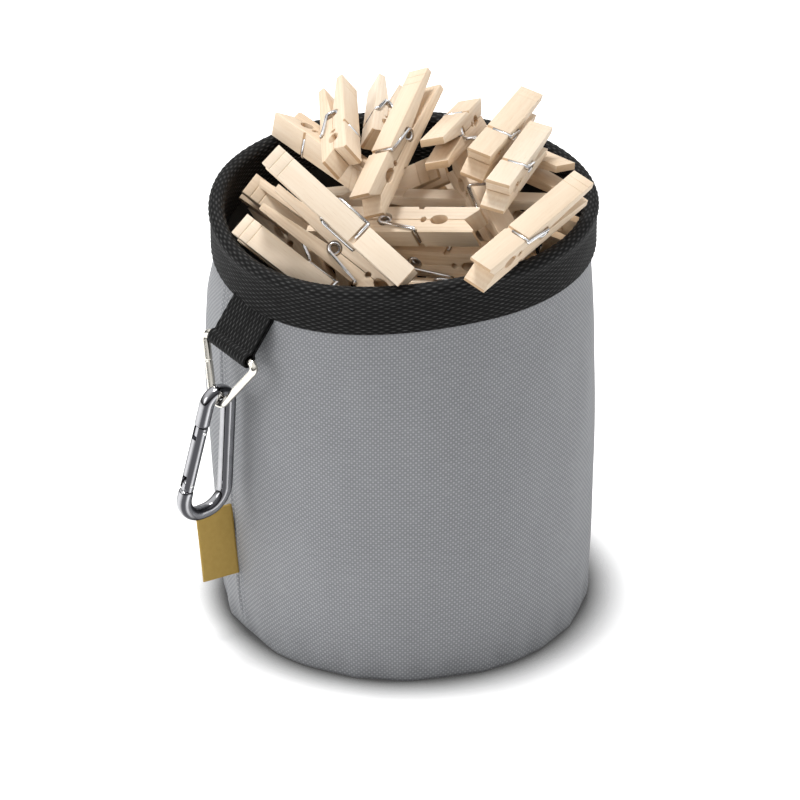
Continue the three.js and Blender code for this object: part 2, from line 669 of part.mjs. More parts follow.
const ringGroup = new THREE.Group();
ringGroup.position.set(-STRAP_REACH * Math.cos(STRAP_SLOPE), 0, -STRAP_REACH * Math.sin(STRAP_SLOPE));
ringGroup.rotation.y = RING_LEAN;
strapGroup.add(ringGroup);
addMesh(ringGroup, 'triangle_ring', triangleRing(), nickel());

const hookGroup = new THREE.Group();
hookGroup.position.set(0, 0, -RING_DROP);
hookGroup.rotation.y = -RING_LEAN;
ringGroup.add(hookGroup);
addMesh(hookGroup, 'carabiner_body', hookBody(), gunmetal());

const gateGroup = new THREE.Group();
gateGroup.applyMatrix4(gateFrame);
hookGroup.add(gateGroup);
addMesh(gateGroup, 'gate_hinge_pin', barAlongY(0, 0, HINGE_PIN / 2, HOOK_ROD, PIN_SIDES), nickel());
addMesh(gateGroup, 'carabiner_gate', hookGate(), gunmetal());
const latchLength = HOOK_ROD + 2 * LATCH_PIN_PROUD;
const latchPin = barAlongY(latchSpot, 0, LATCH_PIN / 2, latchLength, PIN_SIDES);
addMesh(gateGroup, 'gate_latch_pin', latchPin, nickel());
const plungerFace = TONGUE_EYE + FIT;
const plunger = barAlongX(plungerFace, plungerFace + PLUNGER_LENGTH, PLUNGER_DIAMETER / 2, BORE_SIDES);
addMesh(gateGroup, 'gate_plunger', plunger, gunmetal());
const gateSpring = gateSpringRoute();
const gateCoil = tube(gateSpring, GATE_SPRING_WIRE / 2, SPRING_SIDES, new THREE.Vector3(0, 1, 0));
addMesh(gateGroup, 'gate_spring', gateCoil, zincWire());
console.log(`gate spring: least gap ${leastSelfGap(gateSpring, GATE_SPRING_WIRE, 6).toFixed(2)} mm`);

// Label in the side seam
const labelGroup = new THREE.Group();
const labelRadius = wallRadius(LABEL_CENTRE + LABEL_HEIGHT / 2) + FIT;
const labelFoot = new THREE.Vector2(labelRadius, 0).rotateAround(new THREE.Vector2(), LABEL_HEADING);
labelGroup.position.set(labelFoot.x, labelFoot.y, LABEL_CENTRE);
labelGroup.rotation.set(LABEL_TILT, 0, LABEL_HEADING, 'ZYX');
pegBag.add(labelGroup);
addMesh(labelGroup, 'side_label', sideLabel(), mustardTape());

// Pegs
const heap = new THREE.Group();
heap.rotation.z = HEAP_TURN;
pegBag.add(heap);
addMesh(heap, 'lower_pegs', lowerPegs(), birch());
const springRoute = pegSpringRoute();
console.log(`peg spring: least gap ${leastSelfGap(springRoute, SPRING_WIRE, 6).toFixed(2)} mm`);
TOP_PEGS.forEach((pose, i) => {
  const name = `peg_${String(i + 1).padStart(2, '0')}`;
  const peg = new THREE.Group();
  peg.name = name;
  lay(peg, pose);
  heap.add(peg);
  addMesh(peg, `${name}_jaw_a`, jaw(), birch());
  const partner = addMesh(peg, `${name}_jaw_b`, jaw(), birch());
  partner.rotation.x = Math.PI;
  const wire = tube(springRoute, SPRING_WIRE / 2, SPRING_SIDES, new THREE.Vector3(1, 0, 0));
  addMesh(peg, `${name}_spring`, wire, zincWire());
});

export default pegBag;
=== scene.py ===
import json
import math

import bmesh
import bpy
import numpy as np
from mathutils import Matrix, Vector

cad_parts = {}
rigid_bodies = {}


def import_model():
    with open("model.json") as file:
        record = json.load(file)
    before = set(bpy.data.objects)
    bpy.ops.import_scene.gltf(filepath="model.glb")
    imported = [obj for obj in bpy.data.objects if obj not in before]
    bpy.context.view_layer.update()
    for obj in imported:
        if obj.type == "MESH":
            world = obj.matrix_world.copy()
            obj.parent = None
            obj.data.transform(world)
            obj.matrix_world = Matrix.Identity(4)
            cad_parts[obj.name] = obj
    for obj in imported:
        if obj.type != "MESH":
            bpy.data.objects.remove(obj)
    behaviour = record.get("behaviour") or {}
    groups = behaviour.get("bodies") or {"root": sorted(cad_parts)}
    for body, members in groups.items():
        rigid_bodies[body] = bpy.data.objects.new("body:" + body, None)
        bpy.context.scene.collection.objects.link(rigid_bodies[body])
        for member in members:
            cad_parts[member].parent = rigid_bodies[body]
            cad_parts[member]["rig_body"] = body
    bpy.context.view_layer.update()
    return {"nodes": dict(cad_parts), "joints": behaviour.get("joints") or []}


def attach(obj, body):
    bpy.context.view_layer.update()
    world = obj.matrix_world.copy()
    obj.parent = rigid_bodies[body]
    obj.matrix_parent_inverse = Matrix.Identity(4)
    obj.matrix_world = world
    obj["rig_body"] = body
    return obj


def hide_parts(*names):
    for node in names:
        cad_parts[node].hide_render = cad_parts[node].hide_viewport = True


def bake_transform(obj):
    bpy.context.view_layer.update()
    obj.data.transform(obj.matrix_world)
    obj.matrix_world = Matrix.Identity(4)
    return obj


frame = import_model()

MM = 0.001
TURN = 2 * math.pi

# Bag, millimetres
BAG_HEIGHT = 188
BASE_RADIUS = 79.5
BELLY_RADIUS = 81
BELLY_HEIGHT = 90
MOUTH_RADIUS = 78.2
CLOTH = 1.0
LINING = 0.6
WALL_GAP = 0.3
WALL_STACK = CLOTH + WALL_GAP + LINING
BASE_BOARD = 1.4
BASE_CLOTH = 0.9
BASE_LIFT = 0.25
BASE_EDGE_GAP = 0.6
FOOT = 0.8
LINING_CORNER = 1.5

# Rim; the cloth and the lining end under its hoop
BAND_HEIGHT = 20.5
WEBBING = 1.5
BEAD = 3.5
BEAD_RADIUS = MOUTH_RADIUS - WALL_STACK / 2
RIM_DIP = 6.5
RIM_DIP_HEADING = math.radians(187)
RIM_DIP_SPREAD = math.radians(70)
RIM_ROLL = math.radians(20)
NECK_MARGIN = 5
NECK_HEIGHT = BAG_HEIGHT - RIM_DIP - BAND_HEIGHT - NECK_MARGIN
WALL_TOP_DROP = 7.6

# The cloth leans out under the rim on one side and in at its foot
BULGE = 2.8
BULGE_TAPER = 1.6
BULGE_HEADING = math.radians(141)
BULGE_SPREAD = math.radians(45)

CLOTH_INSET = 0.2
CREASE = 0.5
# Waves of the standing cloth: size, count round the bag, phase, millimetres of height per radian
WAVES = ((0.4, 3, 0.7, 60), (0.4, 7, 0.0, 35), (0.26, 13, 1.3, -22), (0.12, 24, 0.0, 14))

# Webbing yarn
YARN = 0.95
FLOAT = 4.75
YARN_LIFT = 0.34

# Seam and label; the cloth stands up in a ridge on both sides of the seam
SEAM_HEADING = math.radians(169)
SEAM_SLANT_PER_MM = math.radians(0.05)
SEAM_VALLEY = 0.75
SEAM_VALLEY_SPREAD = 0.7
SEAM_RIDGE = 0.45
SEAM_RIDGE_AWAY = 2.0
SEAM_RIDGE_SPREAD = 1.3
LABEL_PROUD = 16
LABEL_HEIGHT = 31
LABEL_CENTRE = 45
LABEL_TILT = math.radians(12)

# Strap, ring and snap hook
STRAP_WIDTH = 24
STRAP_REACH = 16.2
RING_WIRE = 3.4
RING_WIDTH = 35
RING_DROP = 25
RING_CORNER = 2.5
RING_APEX_BEND = 5.2
BUTT_GROOVE = 0.45
HOOK_ROD = 6
ROD_SQUARENESS = 2.5
ROD_SHARE = 0.985
GATE_SHARE = 0.97
HOOK_LENGTH = 63
HOOK_WIDTH = 27
HOOK_TOP_BEND = 5.7
HOOK_SPINE_BEND = 10
HOOK_GATE_BEND = 9
HOOK_NOSE = 9.5
HOOK_HEEL = 3
HINGE_INSET = 3.2
LATCH_INSET = 2.3
LATCH_TONGUE = 4.6
LATCH_SLOT = 6
HINGE_SLOT = 4
TONGUE = 2
TONGUE_EYE = 2.2
GATE_EYE = 2.85
GATE_GAP = 0.4
HINGE_PIN = 1.8
HINGE_PIN_PROUD = 0.25
LATCH_LIP = 0.8
LATCH_PIN = 1.6
LATCH_PIN_PROUD = 0.6

# Pegs
PEG_NOSE = 41
PEG_TAIL = -34
PEG_WIDTH = 10
JAW = 6.4
TAIL = 3.0
NOSE_BEVEL = 5.2
NOSE_EDGE = 1.4
LINE_HOLE_X = PEG_NOSE - 16.6
LINE_HOLE_HALF = 3.8
LINE_HOLE_DEPTH = 2.2
GROOVE_X = PEG_NOSE - 26
GROOVE_DEPTH = 1.2
SEAM_NOTCH_X = GROOVE_X + 2.4
SEAM_NOTCH_RADIUS = 1.25
SCORES_FROM_TAIL = (8.5, 4)
SCORE_HALF = 0.22
SCORE_DEPTH = 0.35
WIRE = 1.4
COIL_RADIUS = 2.2
COIL_TURNS = 3
HOOK_OVER = 8
SEATED = 0.05
TIP_SLICE = 0.6
FIT = 0.3
TOP_PEG_COUNT = 15
HEAP_TURN = math.radians(-39)

# Pegs under the top layer, seen from the front quarter, heights counted from the rim:
# place of the coil, then heading, pitch and roll
SECOND_PEGS = [
    ((33, 14, -19), (72, -5, 0)),
    ((15, -36, -27), (-3, 0, 70)),
    ((6, -20, -18.8), (-20, 6, 10)),
    ((52.5, -12, -54), (-60, -70, 0)),
    ((47, -30, -50.5), (-100, -70, 40)),
    ((61.5, 6, -33), (100, -50, 30)),
    ((-38, 11.5, -25.5), (-20, -32, 40)),
    ((25.8, 4.5, -9.6), (-12, 4, -5)),
    ((-36.2, 3.2, -41.2), (133, 36, 40)),
    ((36, -15, -3.2), (108, 8, 5)),
    ((-32.7, 6, -13.9), (-36, -19, -46)),
]
# Buried pegs: where the tail stands and where the nose points; the last one stands on the floor
BURIED_PEGS = [
    ((33, 11, -22), (24, 8, -92)),
    ((24, 8, -84), (9, -2, -158)),
    ((15, -36, -30), (13, -30, -105)),
    ((13, -30, -95), (8, -8, -168)),
    ((8, -19, -24), (6, -6, -98)),
    ((6, -6, -90), (4, -3, -165)),
    ((-38, 11.5, -31), (-28, 8, -106)),
    ((-28, 8, -96), (-4, 0, -167)),
    ((59, -23, -88), (14, -8, -147)),
    ((44, -43, -84), (12, -14, -145)),
    ((56, 31, -58), (18, 4, -122)),
    ((-48, -18, -42), (-2, -5, -108)),
    ((-14, 48, -40.3), (10, -12, -98)),
    ((40, 50, -50), (22, 12, -108)),
    ((-33, -10, -17.3), (-18, -6, -91)),
    ((-30, -48, -46), (-2, -10, -106)),
    ((36, -52, -70), (12, -25, -128)),
    ((-55, 20, -93), (-8, -10, -128)),
    ((-45, -40, -88), (0, -2, -130)),
    ((5, 62, -83), (0, 5, -128)),
    ((50, 40, -93), (8, 0, -133)),
    ((-20, -62, -88), (2, -8, -133)),
    ((62, -5, -90), (8, -4, -136)),
    ((4, -3, -110.4), (4, -3, -185.4)),
]


# Materials

def new_material(name):
    material = bpy.data.materials.new(name)
    material.use_nodes = True
    tree = material.node_tree
    tree.nodes.clear()
    output = tree.nodes.new("ShaderNodeOutputMaterial")
    shader = tree.nodes.new("ShaderNodeBsdfPrincipled")
    tree.links.new(shader.outputs["BSDF"], output.inputs["Surface"])
    return material, tree, shader


def feed(tree, socket, value):
    if isinstance(value, bpy.types.NodeSocket):
        tree.links.new(value, socket)
    else:
        socket.default_value = value


def calc(tree, operation, *values):
    node = tree.nodes.new("ShaderNodeMath")
    node.operation = operation
    for socket, value in zip(node.inputs, values):
        feed(tree, socket, value)
    return node.outputs[0]


def mixed(tree, share, first, second):
    node = tree.nodes.new("ShaderNodeMix")
    node.data_type = "RGBA"
    feed(tree, node.inputs[0], share)
    feed(tree, node.inputs[6], first)
    feed(tree, node.inputs[7], second)
    return node.outputs[2]


def ranged(tree, value, low, high, to_low=0.0, to_high=1.0):
    node = tree.nodes.new("ShaderNodeMapRange")
    for socket, item in zip(node.inputs, (value, low, high, to_low, to_high)):
        feed(tree, socket, item)
    return node.outputs[0]


def weighted(tree, *terms):
    """The sum of values, each times its weight."""
    total = None
    for value, weight in terms:
        part = calc(tree, "MULTIPLY", value, weight)
        total = part if total is None else calc(tree, "ADD", total, part)
    return total


def ripple(tree, value, wavelength):
    return calc(tree, "SINE", calc(tree, "MULTIPLY", value, TURN / wavelength))


def noise(tree, vector, scale, detail=3.0, roughness=0.55):
    node = tree.nodes.new("ShaderNodeTexNoise")
    tree.links.new(vector, node.inputs["Vector"])
    node.inputs["Scale"].default_value = scale
    node.inputs["Detail"].default_value = detail
    node.inputs["Roughness"].default_value = roughness
    return node.outputs[0]


def stretched(tree, vector, scale, offset=(0, 0, 0)):
    node = tree.nodes.new("ShaderNodeMapping")
    tree.links.new(vector, node.inputs["Vector"])
    node.inputs["Scale"].default_value = scale
    node.inputs["Location"].default_value = offset
    return node.outputs[0]


def object_space(tree):
    return tree.nodes.new("ShaderNodeTexCoord").outputs["Object"]


def cloth_space(tree):
    node = tree.nodes.new("ShaderNodeUVMap")
    node.uv_map = "cloth"
    split = tree.nodes.new("ShaderNodeSeparateXYZ")
    tree.links.new(node.outputs[0], split.inputs[0])
    return node.outputs[0], split.outputs[0], split.outputs[1]


def own_normal(tree):
    """The surface normal in the piece's own axes."""
    node = tree.nodes.new("ShaderNodeVectorTransform")
    node.vector_type = "NORMAL"
    node.convert_from = "WORLD"
    node.convert_to = "OBJECT"
    tree.links.new(tree.nodes.new("ShaderNodeNewGeometry").outputs["True Normal"], node.inputs[0])
    split = tree.nodes.new("ShaderNodeSeparateXYZ")
    tree.links.new(node.outputs[0], split.inputs[0])
    return split.outputs


def bump(tree, shader, height, strength, distance):
    node = tree.nodes.new("ShaderNodeBump")
    node.inputs["Strength"].default_value = strength
    node.inputs["Distance"].default_value = distance
    tree.links.new(height, node.inputs["Height"])
    tree.links.new(node.outputs[0], shader.inputs["Normal"])


def grey(value):
    return (value, value, value, 1)


def toned(colour, red, green, blue):
    return (colour[0] * red, colour[1] * green, colour[2] * blue, 1)


def woven_cloth(name, dark, light, pitch, roughness, strength):
    """Plain-woven cloth; its UV map is in millimetres of cloth."""
    material, tree, shader = new_material(name)
    vector, u, v = cloth_space(tree)
    crossing = calc(tree, "MULTIPLY", ripple(tree, u, 2 * pitch), ripple(tree, v, 2 * pitch))
    crown = calc(tree, "POWER", calc(tree, "ABSOLUTE", crossing), 0.6)
    weave = weighted(tree, (crown, 0.45), (ranged(tree, crossing, -1, 1), 0.55))
    slub = noise(tree, stretched(tree, vector, (0.12, 0.9, 1)), 1.0, 4)
    cloud = noise(tree, vector, 0.035, 2)
    shade = weighted(tree, (weave, 0.7), (slub, 0.22), (cloud, 0.08))
    feed(tree, shader.inputs["Base Color"], mixed(tree, shade, dark, light))
    shader.inputs["Roughness"].default_value = roughness
    shader.inputs["Specular IOR Level"].default_value = 0.25
    shader.inputs["Sheen Weight"].default_value = 0.12
    shader.inputs["Sheen Roughness"].default_value = 0.5
    bump(tree, shader, weave, strength, 0.0002)
    return material


def webbing_look(name, dark, light):
    """Thick spun yarn laid brick-wise: the tops of the floats are painted lighter, a painted highlight,
    broken up by fibre and patch noise.
    """
    material, tree, shader = new_material(name)
    vector, u, v = cloth_space(tree)
    lane = calc(tree, "DIVIDE", v, YARN)
    row = calc(tree, "FLOOR", lane)
    crown = ripple(tree, calc(tree, "FRACT", lane), 2)
    phase = weighted(tree, (u, TURN / FLOAT), (row, math.pi))
    over = ranged(tree, calc(tree, "COSINE", phase), -1, 1)
    fibre = noise(tree, stretched(tree, vector, (1.2, 9, 1)), 1.0, 4)
    patch = noise(tree, vector, 0.25, 2)
    # Painted highlight on the crown of each float. It is weaker where the fibre and patch noise are low.
    painted_float_highlight = calc(tree, "POWER", calc(tree, "MULTIPLY", over, crown), 2.0)
    painted_float_highlight = calc(tree, "MULTIPLY", painted_float_highlight, ranged(tree, fibre, 0.35, 0.7, 0.1, 1.0))
    painted_float_highlight = calc(tree, "MULTIPLY", painted_float_highlight, ranged(tree, patch, 0.3, 0.7, 0.4, 1.0))
    feed(tree, shader.inputs["Base Color"], mixed(tree, painted_float_highlight, dark, light))
    feed(tree, shader.inputs["Roughness"], ranged(tree, fibre, 0.2, 0.8, 0.5, 0.7))
    shader.inputs["Specular IOR Level"].default_value = 0.12
    bump(tree, shader, fibre, 0.5, 0.0002)
    return material


def birch_look(name, seed, light, warm):
    """Planed birch, the grain along the peg's own X."""
    material, tree, shader = new_material(name)
    place = object_space(tree)
    shift = (seed * 0.37, seed * 0.81, seed * 0.53)
    streak = noise(tree, stretched(tree, place, (55, 900, 620), shift), 1.0, 5, 0.6)
    broad = noise(tree, stretched(tree, place, (14, 150, 210), shift), 1.0, 3)
    pore = noise(tree, stretched(tree, place, (160, 3600, 3600), shift), 1.0, 2)
    wave = tree.nodes.new("ShaderNodeTexWave")
    wave.bands_direction = "Z"
    wave.inputs["Scale"].default_value = 1.0
    wave.inputs["Distortion"].default_value = 3.0
    wave.inputs["Detail Scale"].default_value = 0.6
    tree.links.new(stretched(tree, place, (8, 60, 190), shift), wave.inputs["Vector"])
    shade = weighted(tree, (streak, 0.5), (broad, 0.45), (wave.outputs[1], 0.16))
    shade = ranged(tree, shade, 0.32, 0.82)
    side = mixed(tree, shade, light, warm)
    dots = ranged(tree, pore, 0.62, 0.74, 0.0, 0.35)
    side = mixed(tree, dots, side, toned(warm, 0.72, 0.62, 0.5))
    end = ranged(tree, calc(tree, "ABSOLUTE", own_normal(tree)[0]), 0.75, 0.95, 0.0, 0.75)
    rings = noise(tree, stretched(tree, place, (50, 420, 1500), shift), 1.0, 4, 0.7)
    end_colour = mixed(tree, rings, toned(warm, 0.9, 0.78, 0.6), toned(warm, 0.66, 0.5, 0.34))
    feed(tree, shader.inputs["Base Color"], mixed(tree, end, side, end_colour))
    feed(tree, shader.inputs["Roughness"], ranged(tree, streak, 0.2, 0.8, 0.5, 0.66))
    shader.inputs["Specular IOR Level"].default_value = 0.3
    bump(tree, shader, streak, 0.22, 0.0002)
    return material


def scuffed_metal(name, low, high, scale):
    """Metal still without its colour, its roughness between low and high."""
    material, tree, shader = new_material(name)
    place = object_space(tree)
    scuff = noise(tree, place, scale, 5, 0.65)
    shader.inputs["Metallic"].default_value = 1.0
    feed(tree, shader.inputs["Roughness"], ranged(tree, scuff, 0.3, 0.7, low, high))
    bump(tree, shader, noise(tree, place, scale * 7, 2), 0.03, 0.0002)
    return material, tree, shader, scuff


def metal_look(name, colour, low, high, scale):
    material, tree, shader, scuff = scuffed_metal(name, low, high, scale)
    worn = toned(colour, 0.82, 0.82, 0.82)
    feed(tree, shader.inputs["Base Color"], mixed(tree, ranged(tree, scuff, 0.35, 0.7), colour, worn))
    return material


def painted_highlight_metal(name, dark, light, low, high, scale):
    """Dark alloy with painted highlights: the colour is painted light on the flats and along the outer and
    inner edges, picked by the normal in the piece's own axes, and a little weaker where the scuff noise is
    low.
    """
    material, tree, shader, scuff = scuffed_metal(name, low, high, scale)
    across = calc(tree, "ABSOLUTE", own_normal(tree)[1])
    # Painted highlight: lighter in the middle of the flat sides, where the normal points along the pin axis,
    # and lighter towards the outer and inner edges.
    flat = ranged(tree, across, 0.93, 1.0)
    edge = ranged(tree, across, 0.5, 0.1)
    painted_highlight = calc(tree, "MAXIMUM", flat, calc(tree, "MULTIPLY", edge, 0.75))
    painted_highlight = calc(tree, "MULTIPLY", painted_highlight, ranged(tree, scuff, 0.25, 0.6, 0.75, 1.0))
    feed(tree, shader.inputs["Base Color"], mixed(tree, painted_highlight, dark, light))
    return material


def tape_look(name, dark, light):
    """Close-woven satin tape."""
    material, tree, shader = new_material(name)
    vector, u, v = cloth_space(tree)
    rib = ranged(tree, ripple(tree, v, 0.42), -1, 1)
    pick = ranged(tree, ripple(tree, u, 0.3), -1, 1)
    cloud = noise(tree, vector, 0.4, 3)
    shade = weighted(tree, (rib, 0.3), (pick, 0.2), (cloud, 0.5))
    feed(tree, shader.inputs["Base Color"], mixed(tree, shade, dark, light))
    shader.inputs["Roughness"].default_value = 0.6
    shader.inputs["Specular IOR Level"].default_value = 0.3
    bump(tree, shader, calc(tree, "MULTIPLY", rib, pick), 0.3, 0.0001)
    return material


def plastic_look(name, dark, light):
    material, tree, shader = new_material(name)
    cloud = noise(tree, object_space(tree), 90, 4)
    feed(tree, shader.inputs["Base Color"], mixed(tree, cloud, dark, light))
    feed(tree, shader.inputs["Roughness"], ranged(tree, cloud, 0.2, 0.8, 0.4, 0.6))
    return material


GREY_CLOTH = woven_cloth("grey_cloth", (0.06, 0.063, 0.07, 1), (0.50, 0.51, 0.53, 1), 1.1, 0.8, 0.6)
BLACK_LINING = woven_cloth("black_lining", grey(0.005), grey(0.02), 0.6, 0.85, 0.4)
# The webbing's light grey is used only for its painted highlights on the tops of the yarn floats.
BLACK_WEBBING = webbing_look("black_webbing", grey(0.004), grey(0.16))
LABEL_TAPE = tape_look("label_tape", (0.40, 0.25, 0.055, 1), (0.60, 0.41, 0.115, 1))
NICKEL = metal_look("nickel_wire", (0.78, 0.75, 0.68, 1), 0.07, 0.14, 160)
# The hook alloy's dark and light are the shaded and lit colours of its painted highlights.
HOOK_ALLOY = painted_highlight_metal("hook_alloy", (0.06, 0.06, 0.066, 1), (0.58, 0.58, 0.60, 1), 0.08, 0.16, 140)
STEEL_PIN = metal_look("steel_pin", (0.78, 0.78, 0.78, 1), 0.14, 0.24, 220)
ZINC_WIRE = metal_look("spring_wire", (0.74, 0.74, 0.75, 1), 0.14, 0.24, 260)
HOOP_PLASTIC = plastic_look("hoop_plastic", grey(0.012), grey(0.03))
BIRCH = [
    birch_look("birch_1", 1.0, (0.88, 0.75, 0.59, 1), (0.76, 0.59, 0.42, 1)),
    birch_look("birch_2", 2.3, (0.86, 0.71, 0.54, 1), (0.72, 0.54, 0.37, 1)),
    birch_look("birch_3", 3.1, (0.89, 0.77, 0.62, 1), (0.79, 0.63, 0.47, 1)),
    birch_look("birch_4", 4.7, (0.84, 0.68, 0.51, 1), (0.69, 0.51, 0.34, 1)),
    birch_look("birch_5", 5.9, (0.87, 0.73, 0.57, 1), (0.77, 0.60, 0.43, 1)),
    birch_look("birch_6", 7.2, (0.89, 0.76, 0.60, 1), (0.74, 0.57, 0.40, 1)),
]


# Mesh helpers

def add_object(name, points, faces, material):
    """A smooth-shaded mesh from points in millimetres."""
    mesh = bpy.data.meshes.new(name)
    mesh.from_pydata((np.asarray(points, float) * MM).tolist(), [], faces)
    mesh.materials.append(material)
    mesh.polygons.foreach_set("use_smooth", [True] * len(mesh.polygons))
    mesh.update()
    made = bpy.data.objects.new(name, mesh)
    bpy.context.scene.collection.objects.link(made)
    return made


def face_outward(made):
    """Turns the faces of a closed mesh outward."""
    shape = bmesh.new()
    shape.from_mesh(made.data)
    bmesh.ops.recalc_face_normals(shape, faces=shape.faces)
    if shape.calc_volume(signed=True) < 0:
        bmesh.ops.reverse_faces(shape, faces=shape.faces)
    shape.to_mesh(made.data)
    shape.free()


def skin(name, rings, closed, material, uv=None):
    """Joins rings of points into one shell: closed on itself, or capped at both ends."""
    rings = np.asarray(rings, float)
    count, size = rings.shape[:2]
    bands = count if closed else count - 1
    faces, corners = [], []
    for i in range(bands):
        j = (i + 1) % count
        for k in range(size):
            m = (k + 1) % size
            faces.append((i * size + k, j * size + k, j * size + m, i * size + m))
            corners.append(((i, k), (i + 1, k), (i + 1, k + 1), (i, k + 1)))
    if not closed:
        faces.append(tuple(range(size))[::-1])
        faces.append(tuple(range((count - 1) * size, count * size)))
        corners.append([(0, k) for k in range(size)][::-1])
        corners.append([(count - 1, k) for k in range(size)])
    made = add_object(name, rings.reshape(-1, 3), faces, material)
    if uv is not None:
        layer = made.data.uv_layers.new(name="cloth")
        flat = [uv(i, k) for face in corners for i, k in face]
        layer.data.foreach_set("uv", np.asarray(flat, float).ravel())
    face_outward(made)
    return made


def tube(name, route, radius, sides, closed, material, start=(0, 1, 0)):
    """A round bar along a row of points; radius may be a list, one for each point."""
    route = [Vector(p) for p in route]
    count = len(route)
    radii = list(radius) if hasattr(radius, "__len__") else [radius] * count
    normal = Vector(start)
    rings = []
    for i, point in enumerate(route):
        ahead = route[(i + 1) % count] if closed or i + 1 < count else route[i]
        behind = route[i - 1] if closed or i > 0 else route[i]
        along = (ahead - behind).normalized()
        normal = (normal - along * normal.dot(along)).normalized()
        across = normal.cross(along)
        rings.append([
            point + radii[i] * (normal * math.cos(TURN * k / sides) + across * math.sin(TURN * k / sides))
            for k in range(sides)
        ])
    return skin(name, rings, closed, material)


def arc(x, y, radius, first, last, steps):
    angles = [first + (last - first) * i / steps for i in range(steps + 1)]
    return [(x + radius * math.cos(angle), y + radius * math.sin(angle)) for angle in angles]


def run_lengths(line):
    """How far along a row of points each one lies."""
    return np.concatenate([[0], np.cumsum(np.linalg.norm(np.diff(line, axis=0), axis=1))])


def along_profile(at, reach, profile, step):
    """Points at given lengths along a flat profile, and its direction there."""
    def point(length):
        return np.stack([np.interp(length, reach, profile[:, i]) for i in (0, 1)])

    way = point(at + step) - point(at - step)
    way /= np.maximum(np.hypot(*way), 1e-6)
    return *point(at), *way


def around(angle, outline):
    """An outline of radius and height, turned to its place round the bag."""
    return [(r * math.cos(angle), r * math.sin(angle), level) for r, level in outline]


def slab(name, outline, width, material):
    """A flat outline in X and Z, width thick, centred on Y."""
    count = len(outline)
    points = [(x, -width / 2, z) for x, z in outline] + [(x, width / 2, z) for x, z in outline]
    faces = [tuple(range(count)), tuple(range(count, 2 * count))[::-1]]
    faces += [(k, (k + 1) % count, (k + 1) % count + count, k + count) for k in range(count)]
    made = add_object(name, points, faces, material)
    face_outward(made)
    return made


def settle(made):
    """Applies the modifiers of an object."""
    graph = bpy.context.evaluated_depsgraph_get()
    mesh = bpy.data.meshes.new_from_object(made.evaluated_get(graph))
    made.modifiers.clear()
    made.data = mesh


def carved(made, operation, *tools):
    for tool in tools:
        step = made.modifiers.new("carve", "BOOLEAN")
        step.object = tool
        step.operation = operation
        step.solver = "EXACT"
    settle(made)
    for tool in tools:
        bpy.data.objects.remove(tool)


def eased(made, width, angle=30):
    """Rounds the sharp edges by a small bevel."""
    step = made.modifiers.new("ease", "BEVEL")
    step.width = width * MM
    step.segments = 2
    step.limit_method = "ANGLE"
    step.angle_limit = math.radians(angle)
    step.use_clamp_overlap = True
    settle(made)
    made.data.polygons.foreach_set("use_smooth", [True] * len(made.data.polygons))
    made.data.set_sharp_from_angle(angle=math.radians(38))


def body_of(node):
    return frame["nodes"][node]["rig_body"]


def stand_in(made, node, place=None):
    """Shows a piece in place of a CAD node, riding on its body."""
    if place is not None:
        made.matrix_world = place
    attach(made, body_of(node))
    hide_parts(node)


def joint(name):
    return next(j for j in frame["joints"] if j["name"] == name)


def joint_place(name):
    return Vector(joint(name)["pos_m"])


def joint_axis(name):
    return Vector(joint(name)["axis"]).normalized()


def placed(x_axis, y_axis, origin):
    """The 4 by 4 place of a piece, from two of its axes and its origin in metres."""
    z_axis = x_axis.cross(y_axis).normalized()
    turn = Matrix((x_axis, y_axis, z_axis)).transposed().to_4x4()
    return Matrix.Translation(origin) @ turn


# Bag

def ramp(value, start, end):
    """0 up to start, 1 from end on, straight in between."""
    return np.clip((value - start) / (end - start), 0, 1)


def bell(away, spread):
    return np.exp(-(away / spread) ** 2)


def fading(z, start, length):
    return np.exp(-np.maximum(z - start, 0) / length)


def wall_radius(z):
    z = np.asarray(z, float)
    low = BASE_RADIUS + (BELLY_RADIUS - BASE_RADIUS) * np.sin(ramp(z, 0, BELLY_HEIGHT) * math.pi / 2)
    high = BELLY_RADIUS + (MOUTH_RADIUS - BELLY_RADIUS) * ramp(z, BELLY_HEIGHT, NECK_HEIGHT) ** 2
    return np.where(z < BELLY_HEIGHT, low, high)


def away_from(angle, heading):
    return np.arctan2(np.sin(angle - heading), np.cos(angle - heading))


def rim_top(angle):
    away = np.abs(away_from(angle, RIM_DIP_HEADING))
    dip = np.where(away < RIM_DIP_SPREAD, (1 + np.cos(math.pi * away / RIM_DIP_SPREAD)) / 2, 0)
    return BAG_HEIGHT - RIM_DIP * dip


# Corners where the sewn bottom edge kinks, in degrees round the bag
PUCKERS = np.radians([
    161, 188, 199, 216, 233, 256, 267, 278, 294, 314, 336, 357, 16, 33, 52, 68, 87, 104, 118, 139,
])


def pucker(angle):
    """How far the bottom edge is drawn in from a circle, as a share of the radius."""
    corners = np.sort(np.mod(PUCKERS, TURN))
    turned = np.mod(angle, TURN)
    index = np.searchsorted(corners, turned, side="right")
    before = np.where(index == 0, corners[-1] - TURN, corners[index - 1])
    after = np.where(index == len(corners), corners[0] + TURN, corners[index % len(corners)])
    half = (after - before) / 2
    middle = (after + before) / 2
    return 1 - np.cos(half) / np.cos(turned - middle)


def seam_angle(z):
    return SEAM_HEADING + SEAM_SLANT_PER_MM * (LABEL_CENTRE - z)


